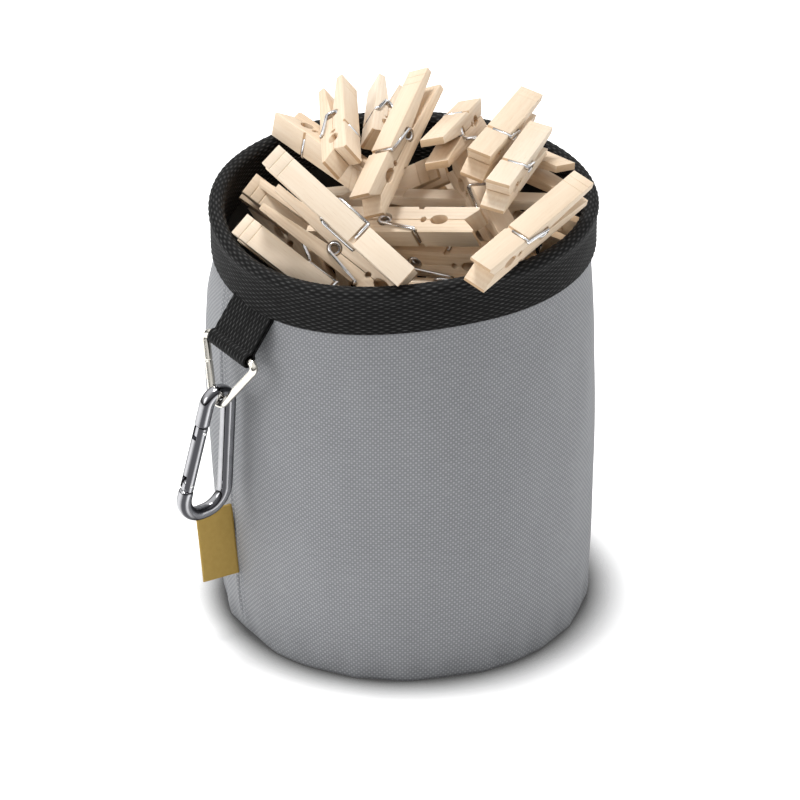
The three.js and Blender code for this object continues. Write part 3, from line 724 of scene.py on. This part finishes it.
def cloth_offset(angle, z):
    """Small waves of the standing cloth, the sewn bottom edge and the side seam."""
    waves = sum(size * np.sin(count * angle + phase + z / rise) for size, count, phase, rise in WAVES)
    calm = ramp(z, NECK_HEIGHT + 6, NECK_HEIGHT - 34) * ramp(z, 0, 30)
    drawn = -BASE_RADIUS * pucker(angle) * fading(z, 0, 11) * 0.9
    crease = CREASE * np.sin(len(PUCKERS) * 1.5 * angle + 0.4) * fading(z, 4, 9) * ramp(z, 0, 5)
    away = away_from(angle, seam_angle(z)) * BELLY_RADIUS
    ridge = SEAM_RIDGE * bell(np.abs(away) - SEAM_RIDGE_AWAY, SEAM_RIDGE_SPREAD)
    seam = (ridge - SEAM_VALLEY * bell(away, SEAM_VALLEY_SPREAD)) * ramp(z, 4, 14)
    near = bell(away_from(angle, BULGE_HEADING), BULGE_SPREAD)
    bulge = BULGE * near * ramp(z, 55, 105) * ramp(z, NECK_HEIGHT + 9, NECK_HEIGHT - 11)
    taper = -BULGE_TAPER * near * ramp(z, 60, 0)
    return waves * calm + drawn + crease + seam + bulge + taper - CLOTH_INSET


def bag_headings(count):
    """Even columns round the bag, drawn closer together beside the seam."""
    even = np.linspace(0, TURN, count, endpoint=False)
    near = SEAM_HEADING + np.linspace(-0.09, 0.09, 61)
    far = even[np.abs(away_from(even, SEAM_HEADING)) > 0.092]
    return np.sort(np.concatenate([far, np.mod(near, TURN)]))


def side_panel():
    headings = bag_headings(300)
    shares = np.concatenate([np.linspace(0, 0.16, 22, endpoint=False), np.linspace(0.16, 1, 48)])
    top = rim_top(headings) - WALL_TOP_DROP
    tuck = np.array([[-2.6, 0.25], [-1.2, 0.05], [-0.45, 0.25]])
    rings = []
    for angle, height in zip(headings, top):
        z = FOOT + shares * (height - FOOT)
        radius = wall_radius(z) + cloth_offset(np.full_like(z, angle), z)
        outside = [(radius[0] + dr, dz) for dr, dz in tuck] + list(zip(radius, z))
        inside = [(r - CLOTH, max(level, 1.0)) for r, level in reversed(outside)]
        rings.append(around(angle, outside + inside))
    size = len(rings[0])
    lengths = np.concatenate([headings, [headings[0] + TURN]]) * BELLY_RADIUS
    levels = [p[2] for p in rings[0]]
    levels.append(levels[0])
    made = skin("side_panel_cloth", rings, True, GREY_CLOTH,
                uv=lambda i, k: (lengths[i], levels[min(k, size)]))
    stand_in(made, "side_panel")


def base_cloth():
    headings = np.linspace(0, TURN, 160, endpoint=False)
    rings = []
    for angle in headings:
        edge = BASE_RADIUS + float(cloth_offset(angle, FOOT)) - CLOTH - WALL_GAP - BASE_EDGE_GAP
        low = []
        for share in np.linspace(0.02, 1, 26):
            wave = 0.2 * math.sin(5 * angle + 9 * share) * share * share
            low.append((edge * share, BASE_LIFT + wave + BASE_LIFT * (1 - share * share)))
        rings.append(around(angle, low + [(r, z + BASE_CLOTH) for r, z in reversed(low)]))
    flat = np.asarray(rings)
    made = skin("base_cloth", rings, True, GREY_CLOTH,
                uv=lambda i, k: tuple(flat[i % len(rings)][k % flat.shape[1]][:2]))
    stand_in(made, "base_panel")


def lining_cloth():
    headings = np.linspace(0, TURN, 200, endpoint=False)
    floor = BASE_BOARD + WALL_GAP
    shares = np.linspace(0, 1, 44)
    rings = []
    for angle in headings:
        top = float(rim_top(angle)) - WALL_TOP_DROP
        z = floor + LINING_CORNER + shares * (top - floor - LINING_CORNER)
        fold = 0.5 * np.sin(9 * angle + z / 40) + 0.35 * np.sin(17 * angle - z / 25)
        calm = ramp(z, top, top - 40)
        drawn = np.minimum(cloth_offset(np.full_like(z, angle), z), 0)
        radius = wall_radius(z) + drawn - CLOTH - WALL_GAP - 0.25 - np.abs(fold) * calm * 1.4
        inner_floor = [(s * (radius[0] - 2), floor) for s in np.linspace(0.02, 1, 16)]
        line = inner_floor + list(zip(radius, z))
        back = [(max(r - LINING, 0.4), z + (LINING if z < floor + 1 else 0)) for r, z in reversed(line)]
        rings.append(around(angle, line + back))
    lengths = np.concatenate([headings, [TURN]]) * MOUTH_RADIUS
    size = len(rings[0])
    steps = run_lengths(np.asarray(rings[0]))
    steps = np.append(steps, steps[-1])
    made = skin("lining_cloth", rings, True, BLACK_LINING, uv=lambda i, k: (lengths[i], steps[min(k, size)]))
    stand_in(made, "lining")


def weave_lift(along, across):
    """Height of the yarns of a webbing: floats laid brick-wise."""
    row = np.floor(across / YARN)
    share = across / YARN - row
    round_yarn = np.sin(math.pi * share) ** 0.7
    over = 0.5 + 0.5 * np.cos(TURN * along / FLOAT + math.pi * row)
    return YARN_LIFT * round_yarn * (0.25 + 0.75 * over)


def webbing(name, place, length, width, thickness, steps, closed, material):
    """A woven tape. place(along, across) gives points and outward normals of its middle."""
    columns, rows = steps
    along = np.linspace(0, length, columns, endpoint=not closed)
    across = np.linspace(0, width, rows)
    s, t = np.meshgrid(along, across, indexing="ij")
    points, normals = place(s, t)
    body = thickness / 2 - YARN_LIFT
    outer = points + normals * (body + weave_lift(s, t))[..., None]
    inner = points - normals * (body + weave_lift(s + FLOAT / 2, t))[..., None]
    rings = np.concatenate([outer, inner[:, ::-1]], axis=1)
    spans = np.concatenate([along, [length]])
    widths = np.concatenate([across, across[::-1], across[:1]])
    return skin(name, rings, closed, material, uv=lambda i, k: (spans[i], widths[k]))


def rim_binding():
    outer_leg = MOUTH_RADIUS + FIT + WEBBING / 2
    inner_leg = MOUTH_RADIUS - WALL_STACK - FIT - WEBBING / 2
    bead = BEAD - WEBBING / 2
    foot, shoulder = 0.05 - BAND_HEIGHT, -2 * BEAD
    profile = [(outer_leg, foot), (outer_leg, shoulder)]
    profile += [(BEAD_RADIUS + x, z - BEAD) for x, z in arc(0, 0, bead, -RIM_ROLL, math.pi + RIM_ROLL, 24)]
    profile += [(inner_leg, shoulder), (inner_leg, foot)]
    profile = np.asarray(profile)
    reach = run_lengths(profile)
    repeats = round(TURN * outer_leg / FLOAT)
    length = repeats * FLOAT

    def place(s, t):
        angle = s / length * TURN
        radius, level, dr, dz = along_profile(t, reach, profile, 0.6)
        z = rim_top(angle) + level
        points = np.stack([radius * np.cos(angle), radius * np.sin(angle), z], axis=-1)
        normals = np.stack([dz * np.cos(angle), dz * np.sin(angle), -dr], axis=-1)
        return points, normals

    rows = round(reach[-1] / YARN * 3) + 1
    made = webbing("rim_binding_webbing", place, length, reach[-1], WEBBING,
                   (repeats * 8, rows), True, BLACK_WEBBING)
    stand_in(made, "rim_binding")


# Hanger

strap_root = joint_place("strap_swing")
ring_bar = joint_place("ring_swing")
hook_seat = joint_place("hook_swing")
hanger_axis = joint_axis("ring_swing")
strap_way = (ring_bar - strap_root).normalized()
STRAP_PLACE = placed(strap_way, hanger_axis, strap_root)
ring_down = (hook_seat - ring_bar).normalized()
RING_PLACE = placed(hanger_axis.cross(-ring_down), hanger_axis, ring_bar)
HOOK_PLACE = placed(Vector((1, 0, 0)), hanger_axis, hook_seat)


def strap_webbing():
    half = (WEBBING + FIT) / 2
    eye = RING_WIRE / 2 + FIT + WEBBING / 2
    meet = math.asin(half / eye)
    shoulder = STRAP_REACH - eye * math.cos(meet)
    start, straight = -3.5, shoulder - 1.2
    line = [(start, half), (straight, half)]
    line += arc(STRAP_REACH, 0, eye, math.pi - meet, meet - math.pi, 30)
    line += [(straight, -half), (start, -half)]
    line = np.asarray(line)
    reach = run_lengths(line)

    def place(s, t):
        x, z, dx, dz = along_profile(s, reach, line, 0.5)
        points = np.stack([x, t - STRAP_WIDTH / 2, z], axis=-1)
        normals = np.stack([-dz, np.zeros_like(t), dx], axis=-1)
        return points, normals

    made = webbing("strap_webbing", place, reach[-1], STRAP_WIDTH, WEBBING,
                   (round(reach[-1] / 0.55), round(STRAP_WIDTH / YARN * 3) + 1), False, BLACK_WEBBING)
    made.matrix_world = STRAP_PLACE
    bpy.context.view_layer.update()
    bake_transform(made)
    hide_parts("strap_loop")


def belt(circles, steps):
    """Arcs of a belt drawn tight round circles (x, y, r), counter-clockwise."""
    count = len(circles)
    leaving = []
    for i, (x, y, r) in enumerate(circles):
        x2, y2, r2 = circles[(i + 1) % count]
        way = Vector((x2 - x, y2 - y))
        lean = (r - r2) / way.length
        way.normalize()
        out = Vector((way.y, -way.x)) * math.sqrt(1 - lean * lean) + way * lean
        leaving.append(math.atan2(out.y, out.x))
    arcs = []
    for i, (x, y, r) in enumerate(circles):
        first = leaving[i - 1]
        sweep = (leaving[i] - first) % TURN
        arcs.append(arc(x, y, r, first, first + sweep, steps))
    return arcs


def dense(route, step, closed):
    """Adds points along the straight stretches of a route."""
    route = [Vector(p) for p in route]
    full = []
    for i, point in enumerate(route):
        full.append(point)
        if not closed and i + 1 == len(route):
            break
        following = route[(i + 1) % len(route)]
        parts = max(1, round((following - point).length / step))
        full += [point.lerp(following, k / parts) for k in range(1, parts)]
    return full


def ring_wire():
    corner = RING_CORNER + RING_WIRE / 2
    reach = RING_WIDTH / 2 - corner
    circles = [
        (reach, -RING_CORNER, RING_CORNER),
        (-reach, -RING_CORNER, RING_CORNER),
        (0, RING_APEX_BEND - RING_DROP, RING_APEX_BEND),
    ]
    arcs = belt(circles, 14)
    route = dense([(0, x, y) for run in arcs for x, y in run], 0.35, True)
    radii = [RING_WIRE / 2] * len(route)
    # A groove where the two ends of the wire meet
    butt = Vector((0, RING_WIDTH / 2 * 0.62, -11))
    nearest = min(range(len(route)), key=lambda i: (route[i] - butt).length)
    radii[nearest] -= BUTT_GROOVE
    made = tube("ring_wire", route, radii, 20, True, NICKEL, start=(1, 0, 0))
    stand_in(made, "triangle_ring", RING_PLACE)


HOOK_RISE = HOOK_ROD / 2 + RING_WIRE / 2 + FIT
HOOK_BOTTOM = HOOK_RISE + HOOK_ROD - HOOK_LENGTH
HOOK_SPINE = -HOOK_TOP_BEND
HOOK_GATE_SIDE = HOOK_SPINE + HOOK_WIDTH - HOOK_ROD
top_arc, spine_arc, gate_arc = belt([
    (0, HOOK_RISE - HOOK_TOP_BEND, HOOK_TOP_BEND),
    (HOOK_SPINE + HOOK_SPINE_BEND, HOOK_BOTTOM + HOOK_SPINE_BEND, HOOK_SPINE_BEND),
    (HOOK_GATE_SIDE - HOOK_GATE_BEND, HOOK_BOTTOM + HOOK_GATE_BEND, HOOK_GATE_BEND),
], 18)
gate_foot = Vector(gate_arc[-1])
gate_way = (Vector(top_arc[0]) - gate_foot).normalized()
hinge_face = gate_foot + gate_way * HOOK_HEEL
nose_face = Vector(top_arc[0]) - gate_way * HOOK_NOSE
hinge_spot = hinge_face + gate_way * HINGE_INSET
NOSE_REACH = (nose_face - hinge_spot).length
LATCH_SPOT = NOSE_REACH - LATCH_INSET
gate_x = Vector((-gate_way.x, 0, gate_way.y))
gate_local = placed(gate_x, Vector((0, 1, 0)), Vector((-hinge_spot.x, 0, hinge_spot.y)) * MM)
GATE_PLACE = HOOK_PLACE @ gate_local


def rivet(name, x, radius, length, dome):
    """A pin across the hook, its ends domed."""
    half = length / 2
    ends = [-half, -half + dome * 0.4, -half + dome, half - dome, half - dome * 0.4, half]
    radii = [radius * share for share in (0.55, 0.88, 1, 1, 0.88, 0.55)]
    return tube(name, [(x, y, 0) for y in ends], radii, 24, False, STEEL_PIN, start=(1, 0, 0))


def rounded_rod(name, route, radius, material):
    """The hook's rod: a round section with two flattened sides and eased ends."""
    route = dense(route, 0.5, False)
    count = len(route)
    sides = 40
    power = 2 / ROD_SQUARENESS
    side = Vector((0, 1, 0))
    rings = []
    for i, point in enumerate(route):
        along = (route[min(i + 1, count - 1)] - route[max(i - 1, 0)]).normalized()
        out = side.cross(along)
        end = min(i, count - 1 - i)
        scale = 0.9 if end == 0 else 0.97 if end == 1 else 1.0
        ring = []
        for k in range(sides):
            c, s = math.cos(TURN * k / sides), math.sin(TURN * k / sides)
            y = math.copysign(abs(c) ** power, c) * radius * ROD_SHARE
            x = math.copysign(abs(s) ** power, s) * radius * ROD_SHARE
            ring.append(point + (side * y + out * x) * scale)
        rings.append(ring)
    return skin(name, rings, False, material)


def hook_body():
    route = [nose_face, *top_arc, *spine_arc, *gate_arc, hinge_face]
    rod = rounded_rod("snap_hook_rod", [(-p[0], 0, p[1]) for p in route], HOOK_ROD / 2, HOOK_ALLOY)
    stand_in(rod, "carabiner_body", HOOK_PLACE)
    root = HINGE_INSET + HOOK_HEEL / 2
    eye = arc(0, 0, TONGUE_EYE, -math.pi / 2, math.pi / 2, 16)
    eye = [(-root, -TONGUE_EYE), *eye, (-root, TONGUE_EYE)]
    hinge = slab("snap_hook_hinge_tongue", eye, TONGUE, HOOK_ALLOY)
    tip = NOSE_REACH - LATCH_TONGUE
    inner = LATCH_PIN / 2 + FIT
    latch = slab("snap_hook_latch_tongue", [
        (tip, -LATCH_PIN / 2), (tip + LATCH_LIP, -LATCH_PIN / 2), (tip + LATCH_LIP, inner),
        (NOSE_REACH + 1.5, inner), (NOSE_REACH + 1.5, TONGUE_EYE), (tip, TONGUE_EYE),
    ], TONGUE, HOOK_ALLOY)
    for tongue in (hinge, latch):
        eased(tongue, 0.2)
        stand_in(tongue, "carabiner_body", GATE_PLACE)


def hook_gate():
    end = NOSE_REACH - GATE_GAP
    outline = [(end, -GATE_EYE), (end, GATE_EYE), *arc(0, 0, GATE_EYE, math.pi / 2, 3 * math.pi / 2, 20)]
    gate = slab("snap_gate", outline, HOOK_ROD, HOOK_ALLOY)
    middle = [(-HOOK_ROD, 0, 0), (NOSE_REACH, 0, 0)]
    carved(gate, "INTERSECT", tube("gate_round", middle, HOOK_ROD / 2 * GATE_SHARE, 48, False, HOOK_ALLOY))
    past = 8
    slots = (("hinge_slot", -past, HINGE_SLOT), ("latch_slot", NOSE_REACH - LATCH_SLOT, NOSE_REACH + 3))
    carved(gate, "DIFFERENCE", *[
        slab(name, [(first, -past), (last, -past), (last, past), (first, past)], TONGUE + 2 * FIT, HOOK_ALLOY)
        for name, first, last in slots
    ])
    eased(gate, 0.22)
    stand_in(gate, "carabiner_gate", GATE_PLACE)
    hinge = rivet("hinge_rivet", 0, HINGE_PIN / 2, HOOK_ROD + 2 * HINGE_PIN_PROUD, 0.4)
    stand_in(hinge, "gate_hinge_pin", GATE_PLACE)
    latch = rivet("latch_rivet", LATCH_SPOT, LATCH_PIN / 2, HOOK_ROD + 2 * LATCH_PIN_PROUD, 0.45)
    stand_in(latch, "gate_latch_pin", GATE_PLACE)


def side_label():
    """A tape folded double, a little bowed, its cut ends caught in the seam."""
    ply = 0.45
    half = ply * 0.62
    caught = -0.8
    radius = float(wall_radius(LABEL_CENTRE + LABEL_HEIGHT / 2)) + 0.1
    end = LABEL_PROUD - ply / 2 - half
    line = [(x, half) for x in np.linspace(caught, end, 18)]
    line += arc(end, 0, half, math.pi / 2, -math.pi / 2, 10)[1:-1]
    line += [(x, -half) for x in np.linspace(end, caught, 18)]
    line = np.asarray(line)
    lengths = run_lengths(line)
    way = np.gradient(line, axis=0)
    way /= np.linalg.norm(way, axis=1)[:, None]
    out = np.stack([-way[:, 1], way[:, 0]], axis=1)
    levels = np.linspace(-LABEL_HEIGHT / 2, LABEL_HEIGHT / 2, 40)
    rings = []
    for (x, y), (ox, oy) in zip(line, out):
        bow = 0.35 * np.sin(x / LABEL_PROUD * 2.2 + levels / 16) + 0.02 * levels * x / LABEL_PROUD
        front = [(x + ox * ply / 2, y + oy * ply / 2 + b, z) for b, z in zip(bow, levels)]
        rear = [(x - ox * ply / 2, y - oy * ply / 2 + b, z) for b, z in zip(bow, levels)]
        rings.append(front + rear[::-1])
    spans = np.concatenate([levels, levels[::-1], levels[:1]])
    made = skin("label_tape", rings, False, LABEL_TAPE, uv=lambda i, k: (lengths[i], spans[k]))
    turn = Matrix.Rotation(SEAM_HEADING, 4, "Z") @ Matrix.Rotation(LABEL_TILT, 4, "X")
    spot = Vector((radius * math.cos(SEAM_HEADING), radius * math.sin(SEAM_HEADING), LABEL_CENTRE)) * MM
    made.matrix_world = Matrix.Translation(spot) @ turn
    stand_in(made, "side_label")


# Pegs

def jaw_outline():
    seam = FIT / 2
    gape = math.atan2(JAW - TAIL, -PEG_TAIL)
    notch_radius = COIL_RADIUS + WIRE / 2 + FIT
    notch = math.asin(seam / notch_radius)
    half_groove = WIRE / 2 + FIT
    line = [(PEG_TAIL, JAW - TAIL)]
    line += arc(0, 0, notch_radius, math.pi - gape, notch, 14)
    line += arc(SEAM_NOTCH_X, seam, SEAM_NOTCH_RADIUS, math.pi, 0, 12)
    hole = arc(0, 0, 1, math.pi, 0, 16)
    line += [(LINE_HOLE_X + LINE_HOLE_HALF * x, seam + LINE_HOLE_DEPTH * z) for x, z in hole]
    line += [
        (PEG_NOSE - NOSE_BEVEL, seam),
        (PEG_NOSE, JAW - NOSE_EDGE),
        (PEG_NOSE, JAW),
        (GROOVE_X + half_groove + FIT, JAW),
        (GROOVE_X + half_groove, JAW - GROOVE_DEPTH),
        (GROOVE_X - half_groove, JAW - GROOVE_DEPTH),
        (GROOVE_X - half_groove - FIT, JAW),
    ]
    for place in SCORES_FROM_TAIL:
        x = PEG_TAIL + place
        line += [(x + SCORE_HALF, JAW), (x, JAW - SCORE_DEPTH), (x - SCORE_HALF, JAW)]
    line.append((PEG_TAIL, JAW))
    return line


def jaw_shape():
    made = slab("jaw", jaw_outline(), PEG_WIDTH, BIRCH[0])
    eased(made, 0.28, 40)
    return made


def spring_route():
    steps_per_turn = 18
    side = PEG_WIDTH / 2 + SEATED + WIRE / 2
    height = JAW - GROOVE_DEPTH + SEATED + WIRE / 2
    lead = math.radians(100)
    sweep = 2 * (math.pi - lead) + COIL_TURNS * TURN
    steps = round(sweep / TURN * steps_per_turn)
    coil = []
    for i in range(steps + 1):
        angle = lead + sweep * i / steps
        y = side - 2 * side * i / steps
        coil.append((COIL_RADIUS * math.cos(angle), y, COIL_RADIUS * math.sin(angle)))
    round_off = 0.9
    bend = arc(side - round_off, height - round_off, round_off, math.pi / 2, 0, 5)
    arm = [(GROOVE_X, side - HOOK_OVER, height)] + [(GROOVE_X, y, z) for y, z in bend]
    far = [(x, -y, -z) for x, y, z in reversed(arm)]
    return arm + coil + far


def mesh_of(made):
    """The mesh of an object that is only a pattern for others."""
    mesh = made.data
    bpy.data.objects.remove(made)
    return mesh


def peg_place(name):
    """A peg's own frame, read from where its two jaws lie: X to the nose, Z out of jaw a."""
    pivot = joint_place(name + "_squeeze")
    jaws = [frame["nodes"][f"{name}_jaw_{side}"].data.vertices for side in "ab"]
    upper, lower = (np.array([v.co for v in jaw]) for jaw in jaws)
    every = np.concatenate([upper, lower]) - np.array(pivot)
    reach = np.linalg.norm(every, axis=1)
    nose = Vector(every[reach > reach.max() - TIP_SLICE * MM].mean(axis=0)).normalized()
    out = Vector(upper.mean(axis=0) - lower.mean(axis=0))
    out = (out - nose * out.dot(nose)).normalized()
    return placed(nose, out.cross(nose), pivot)


def show_mesh(name, mesh, matrix, material=None):
    own = mesh.copy()
    if material is not None:
        own.materials.clear()
        own.materials.append(material)
    made = bpy.data.objects.new(name, own)
    bpy.context.scene.collection.objects.link(made)
    made.matrix_world = matrix
    return made


def show_jaws(name, jaw, place, woods, nodes):
    """Both jaws of a peg: jaw b is jaw a turned over."""
    for side, angle, wood, node in zip("ab", (0, math.pi), woods, nodes):
        matrix = place @ Matrix.Rotation(angle, 4, "X")
        shown = show_mesh(f"{name}_wood_{side}", jaw, matrix, BIRCH[wood % len(BIRCH)])
        stand_in(shown, node)


def lower_places():
    """Where the pegs under the top layer lie."""
    heap = Matrix.Rotation(HEAP_TURN, 4, "Z") @ Matrix.Translation((0, 0, BAG_HEIGHT * MM))
    places = []
    for at, (heading, pitch, roll) in SECOND_PEGS:
        turn = Matrix.Identity(4)
        for angle, axis in ((heading, "Z"), (-pitch, "Y"), (roll, "X")):
            turn = turn @ Matrix.Rotation(math.radians(angle), 4, axis)
        places.append(heap @ Matrix.Translation(Vector(at) * MM) @ turn)
    for tail, nose in BURIED_PEGS:
        along = (Vector(nose) - Vector(tail)).normalized()
        turn = Vector((1, 0, 0)).rotation_difference(along).to_matrix().to_4x4()
        places.append(heap @ Matrix.Translation((Vector(tail) - along * PEG_TAIL) * MM) @ turn)
    return places


def pegs():
    jaw = mesh_of(jaw_shape())
    spring = mesh_of(tube("spring", spring_route(), WIRE / 2 * 0.98, 10, False, ZINC_WIRE, start=(1, 0, 0)))
    for number in range(1, TOP_PEG_COUNT + 1):
        name = f"peg_{number:02d}"
        place = peg_place(name)
        jaw_a, jaw_b = f"{name}_jaw_a", f"{name}_jaw_b"
        show_jaws(name, jaw, place, (number * 2, number * 2 + 3), (jaw_a, jaw_b))
        wire = show_mesh(f"{name}_wire", spring, place)
        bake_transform(wire)
        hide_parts(f"{name}_spring")
    for number, place in enumerate(lower_places(), 1):
        name = f"lower_peg_{number:02d}"
        show_jaws(name, jaw, place, (number, number + 2), ("lower_pegs", "lower_pegs"))
        stand_in(show_mesh(f"{name}_wire", spring, place), "lower_pegs")


rim_binding()
base_cloth()
side_panel()
lining_cloth()
strap_webbing()
ring_wire()
hook_body()
hook_gate()
side_label()
pegs()

for node, look in (("rim_hoop", HOOP_PLASTIC), ("gate_plunger", HOOK_ALLOY), ("gate_spring", ZINC_WIRE)):
    frame["nodes"][node].data.materials.clear()
    frame["nodes"][node].data.materials.append(look)


# Studio: the angle of the photograph, in a room brighter at the sides than in front
AZIMUTH = math.radians(-39)
ELEVATION = math.radians(29.33)
WORLD_LIGHT = 0.27
SIDE_LIFT = 4.0
FLOOR_SIZE = 3.0
FLOOR_GLOW = 0.5
# The floor's colour and glow are darkened within CONTACT_REACH of the object by an ambient occlusion node.
# This is a painted contact shadow, darkest at CONTACT_SHADE where the occlusion is strongest.
CONTACT_REACH = 0.02
CONTACT_SHADE = 0.1


def white_floor():
    corners = [(x * FLOOR_SIZE, y * FLOOR_SIZE, 0) for x, y in ((-1, -1), (1, -1), (1, 1), (-1, 1))]
    mesh = bpy.data.meshes.new("floor")
    mesh.from_pydata(corners, [], [(0, 1, 2, 3)])
    material, tree, shader = new_material("studio_floor")
    speck = noise(tree, object_space(tree), 3.0, 2)
    # Painted shadow: ambient occlusion darkens the floor's colour near the object.
    contact = tree.nodes.new("ShaderNodeAmbientOcclusion")
    contact.inputs["Distance"].default_value = CONTACT_REACH
    clear = ranged(tree, contact.outputs["AO"], 0.5, 1.0, CONTACT_SHADE, 1.0)
    pale = mixed(tree, speck, grey(0.94), grey(0.96))
    feed(tree, shader.inputs["Base Color"], mixed(tree, clear, grey(0.0), pale))
    path = tree.nodes.new("ShaderNodeLightPath").outputs
    seen = calc(tree, "MAXIMUM", path["Is Camera Ray"], path["Is Glossy Ray"])
    seen = calc(tree, "MAXIMUM", seen, path["Is Transmission Ray"])
    shader.inputs["Emission Color"].default_value = grey(1.0)
    # The glow is dimmed by the same painted shadow.
    glow = calc(tree, "MULTIPLY", clear, FLOOR_GLOW)
    feed(tree, shader.inputs["Emission Strength"], calc(tree, "MULTIPLY", seen, glow))
    shader.inputs["Roughness"].default_value = 1.0
    shader.inputs["Specular IOR Level"].default_value = 0.0
    mesh.materials.append(material)
    floor = bpy.data.objects.new("floor", mesh)
    bpy.context.scene.collection.objects.link(floor)


def soft_light(name, spot, target, size, power):
    data = bpy.data.lights.new(name, "AREA")
    data.shape = "DISK"
    data.size = size
    data.energy = power
    lamp = bpy.data.objects.new(name, data)
    lamp.location = spot
    lamp.rotation_mode = "QUATERNION"
    lamp.rotation_quaternion = (Vector(target) - Vector(spot)).to_track_quat("-Z", "Y")
    bpy.context.scene.collection.objects.link(lamp)


def studio_world():
    world = bpy.data.worlds.new("studio")
    bpy.context.scene.world = world
    world.use_nodes = True
    tree = world.node_tree
    tree.nodes.clear()
    output = tree.nodes.new("ShaderNodeOutputWorld")
    path = tree.nodes.new("ShaderNodeLightPath")
    way = tree.nodes.new("ShaderNodeTexCoord").outputs["Generated"]
    split = tree.nodes.new("ShaderNodeSeparateXYZ")
    tree.links.new(way, split.inputs[0])
    sky = ranged(tree, split.outputs[2], 0.05, 0.6, 0.04, 1.1)
    sideways = weighted(tree, (split.outputs[0], math.cos(AZIMUTH)), (split.outputs[1], math.sin(AZIMUTH)))
    lift = calc(tree, "MULTIPLY", calc(tree, "MULTIPLY", sideways, sideways), SIDE_LIFT)
    room = calc(tree, "MULTIPLY", calc(tree, "ADD", lift, 1.0), WORLD_LIGHT)

    def background(strength):
        node = tree.nodes.new("ShaderNodeBackground")
        node.inputs["Color"].default_value = grey(1.0)
        feed(tree, node.inputs["Strength"], strength)
        return node.outputs[0]

    def chosen(ray, others, own):
        node = tree.nodes.new("ShaderNodeMixShader")
        for socket, link in zip(node.inputs, (path.outputs[ray], others, own)):
            tree.links.new(link, socket)
        return node.outputs[0]

    lit = chosen("Is Glossy Ray", background(room), background(sky))
    tree.links.new(chosen("Is Camera Ray", lit, background(1.0)), output.inputs[0])


studio_world()
white_floor()
soft_light("key", (-0.02, 0.25, 1.95), (0, 0, 0.1), 0.6, 24)
soft_light("fill", (-1.68, 0.46, 0.9), (0, 0, 0.1), 1.1, 8)

# Camera
AIM = Vector((0, 0, 0.092))
DISTANCE = 2.0
level = math.cos(ELEVATION)
back = Vector((math.sin(AZIMUTH) * level, -math.cos(AZIMUTH) * level, math.sin(ELEVATION)))
camera_data = bpy.data.cameras.new("camera")
camera_data.sensor_width = 36
camera_data.lens = 213.25
camera_data.shift_x = -0.00448
camera_data.shift_y = -0.00453
camera_data.clip_start = 0.1
camera_data.clip_end = 20
camera = bpy.data.objects.new("camera", camera_data)
camera.location = AIM + back * DISTANCE
camera.rotation_mode = "QUATERNION"
camera.rotation_quaternion = (-back).to_track_quat("-Z", "Y")
bpy.context.scene.collection.objects.link(camera)
bpy.context.scene.camera = camera
bpy.context.scene.view_settings.view_transform = "Standard"
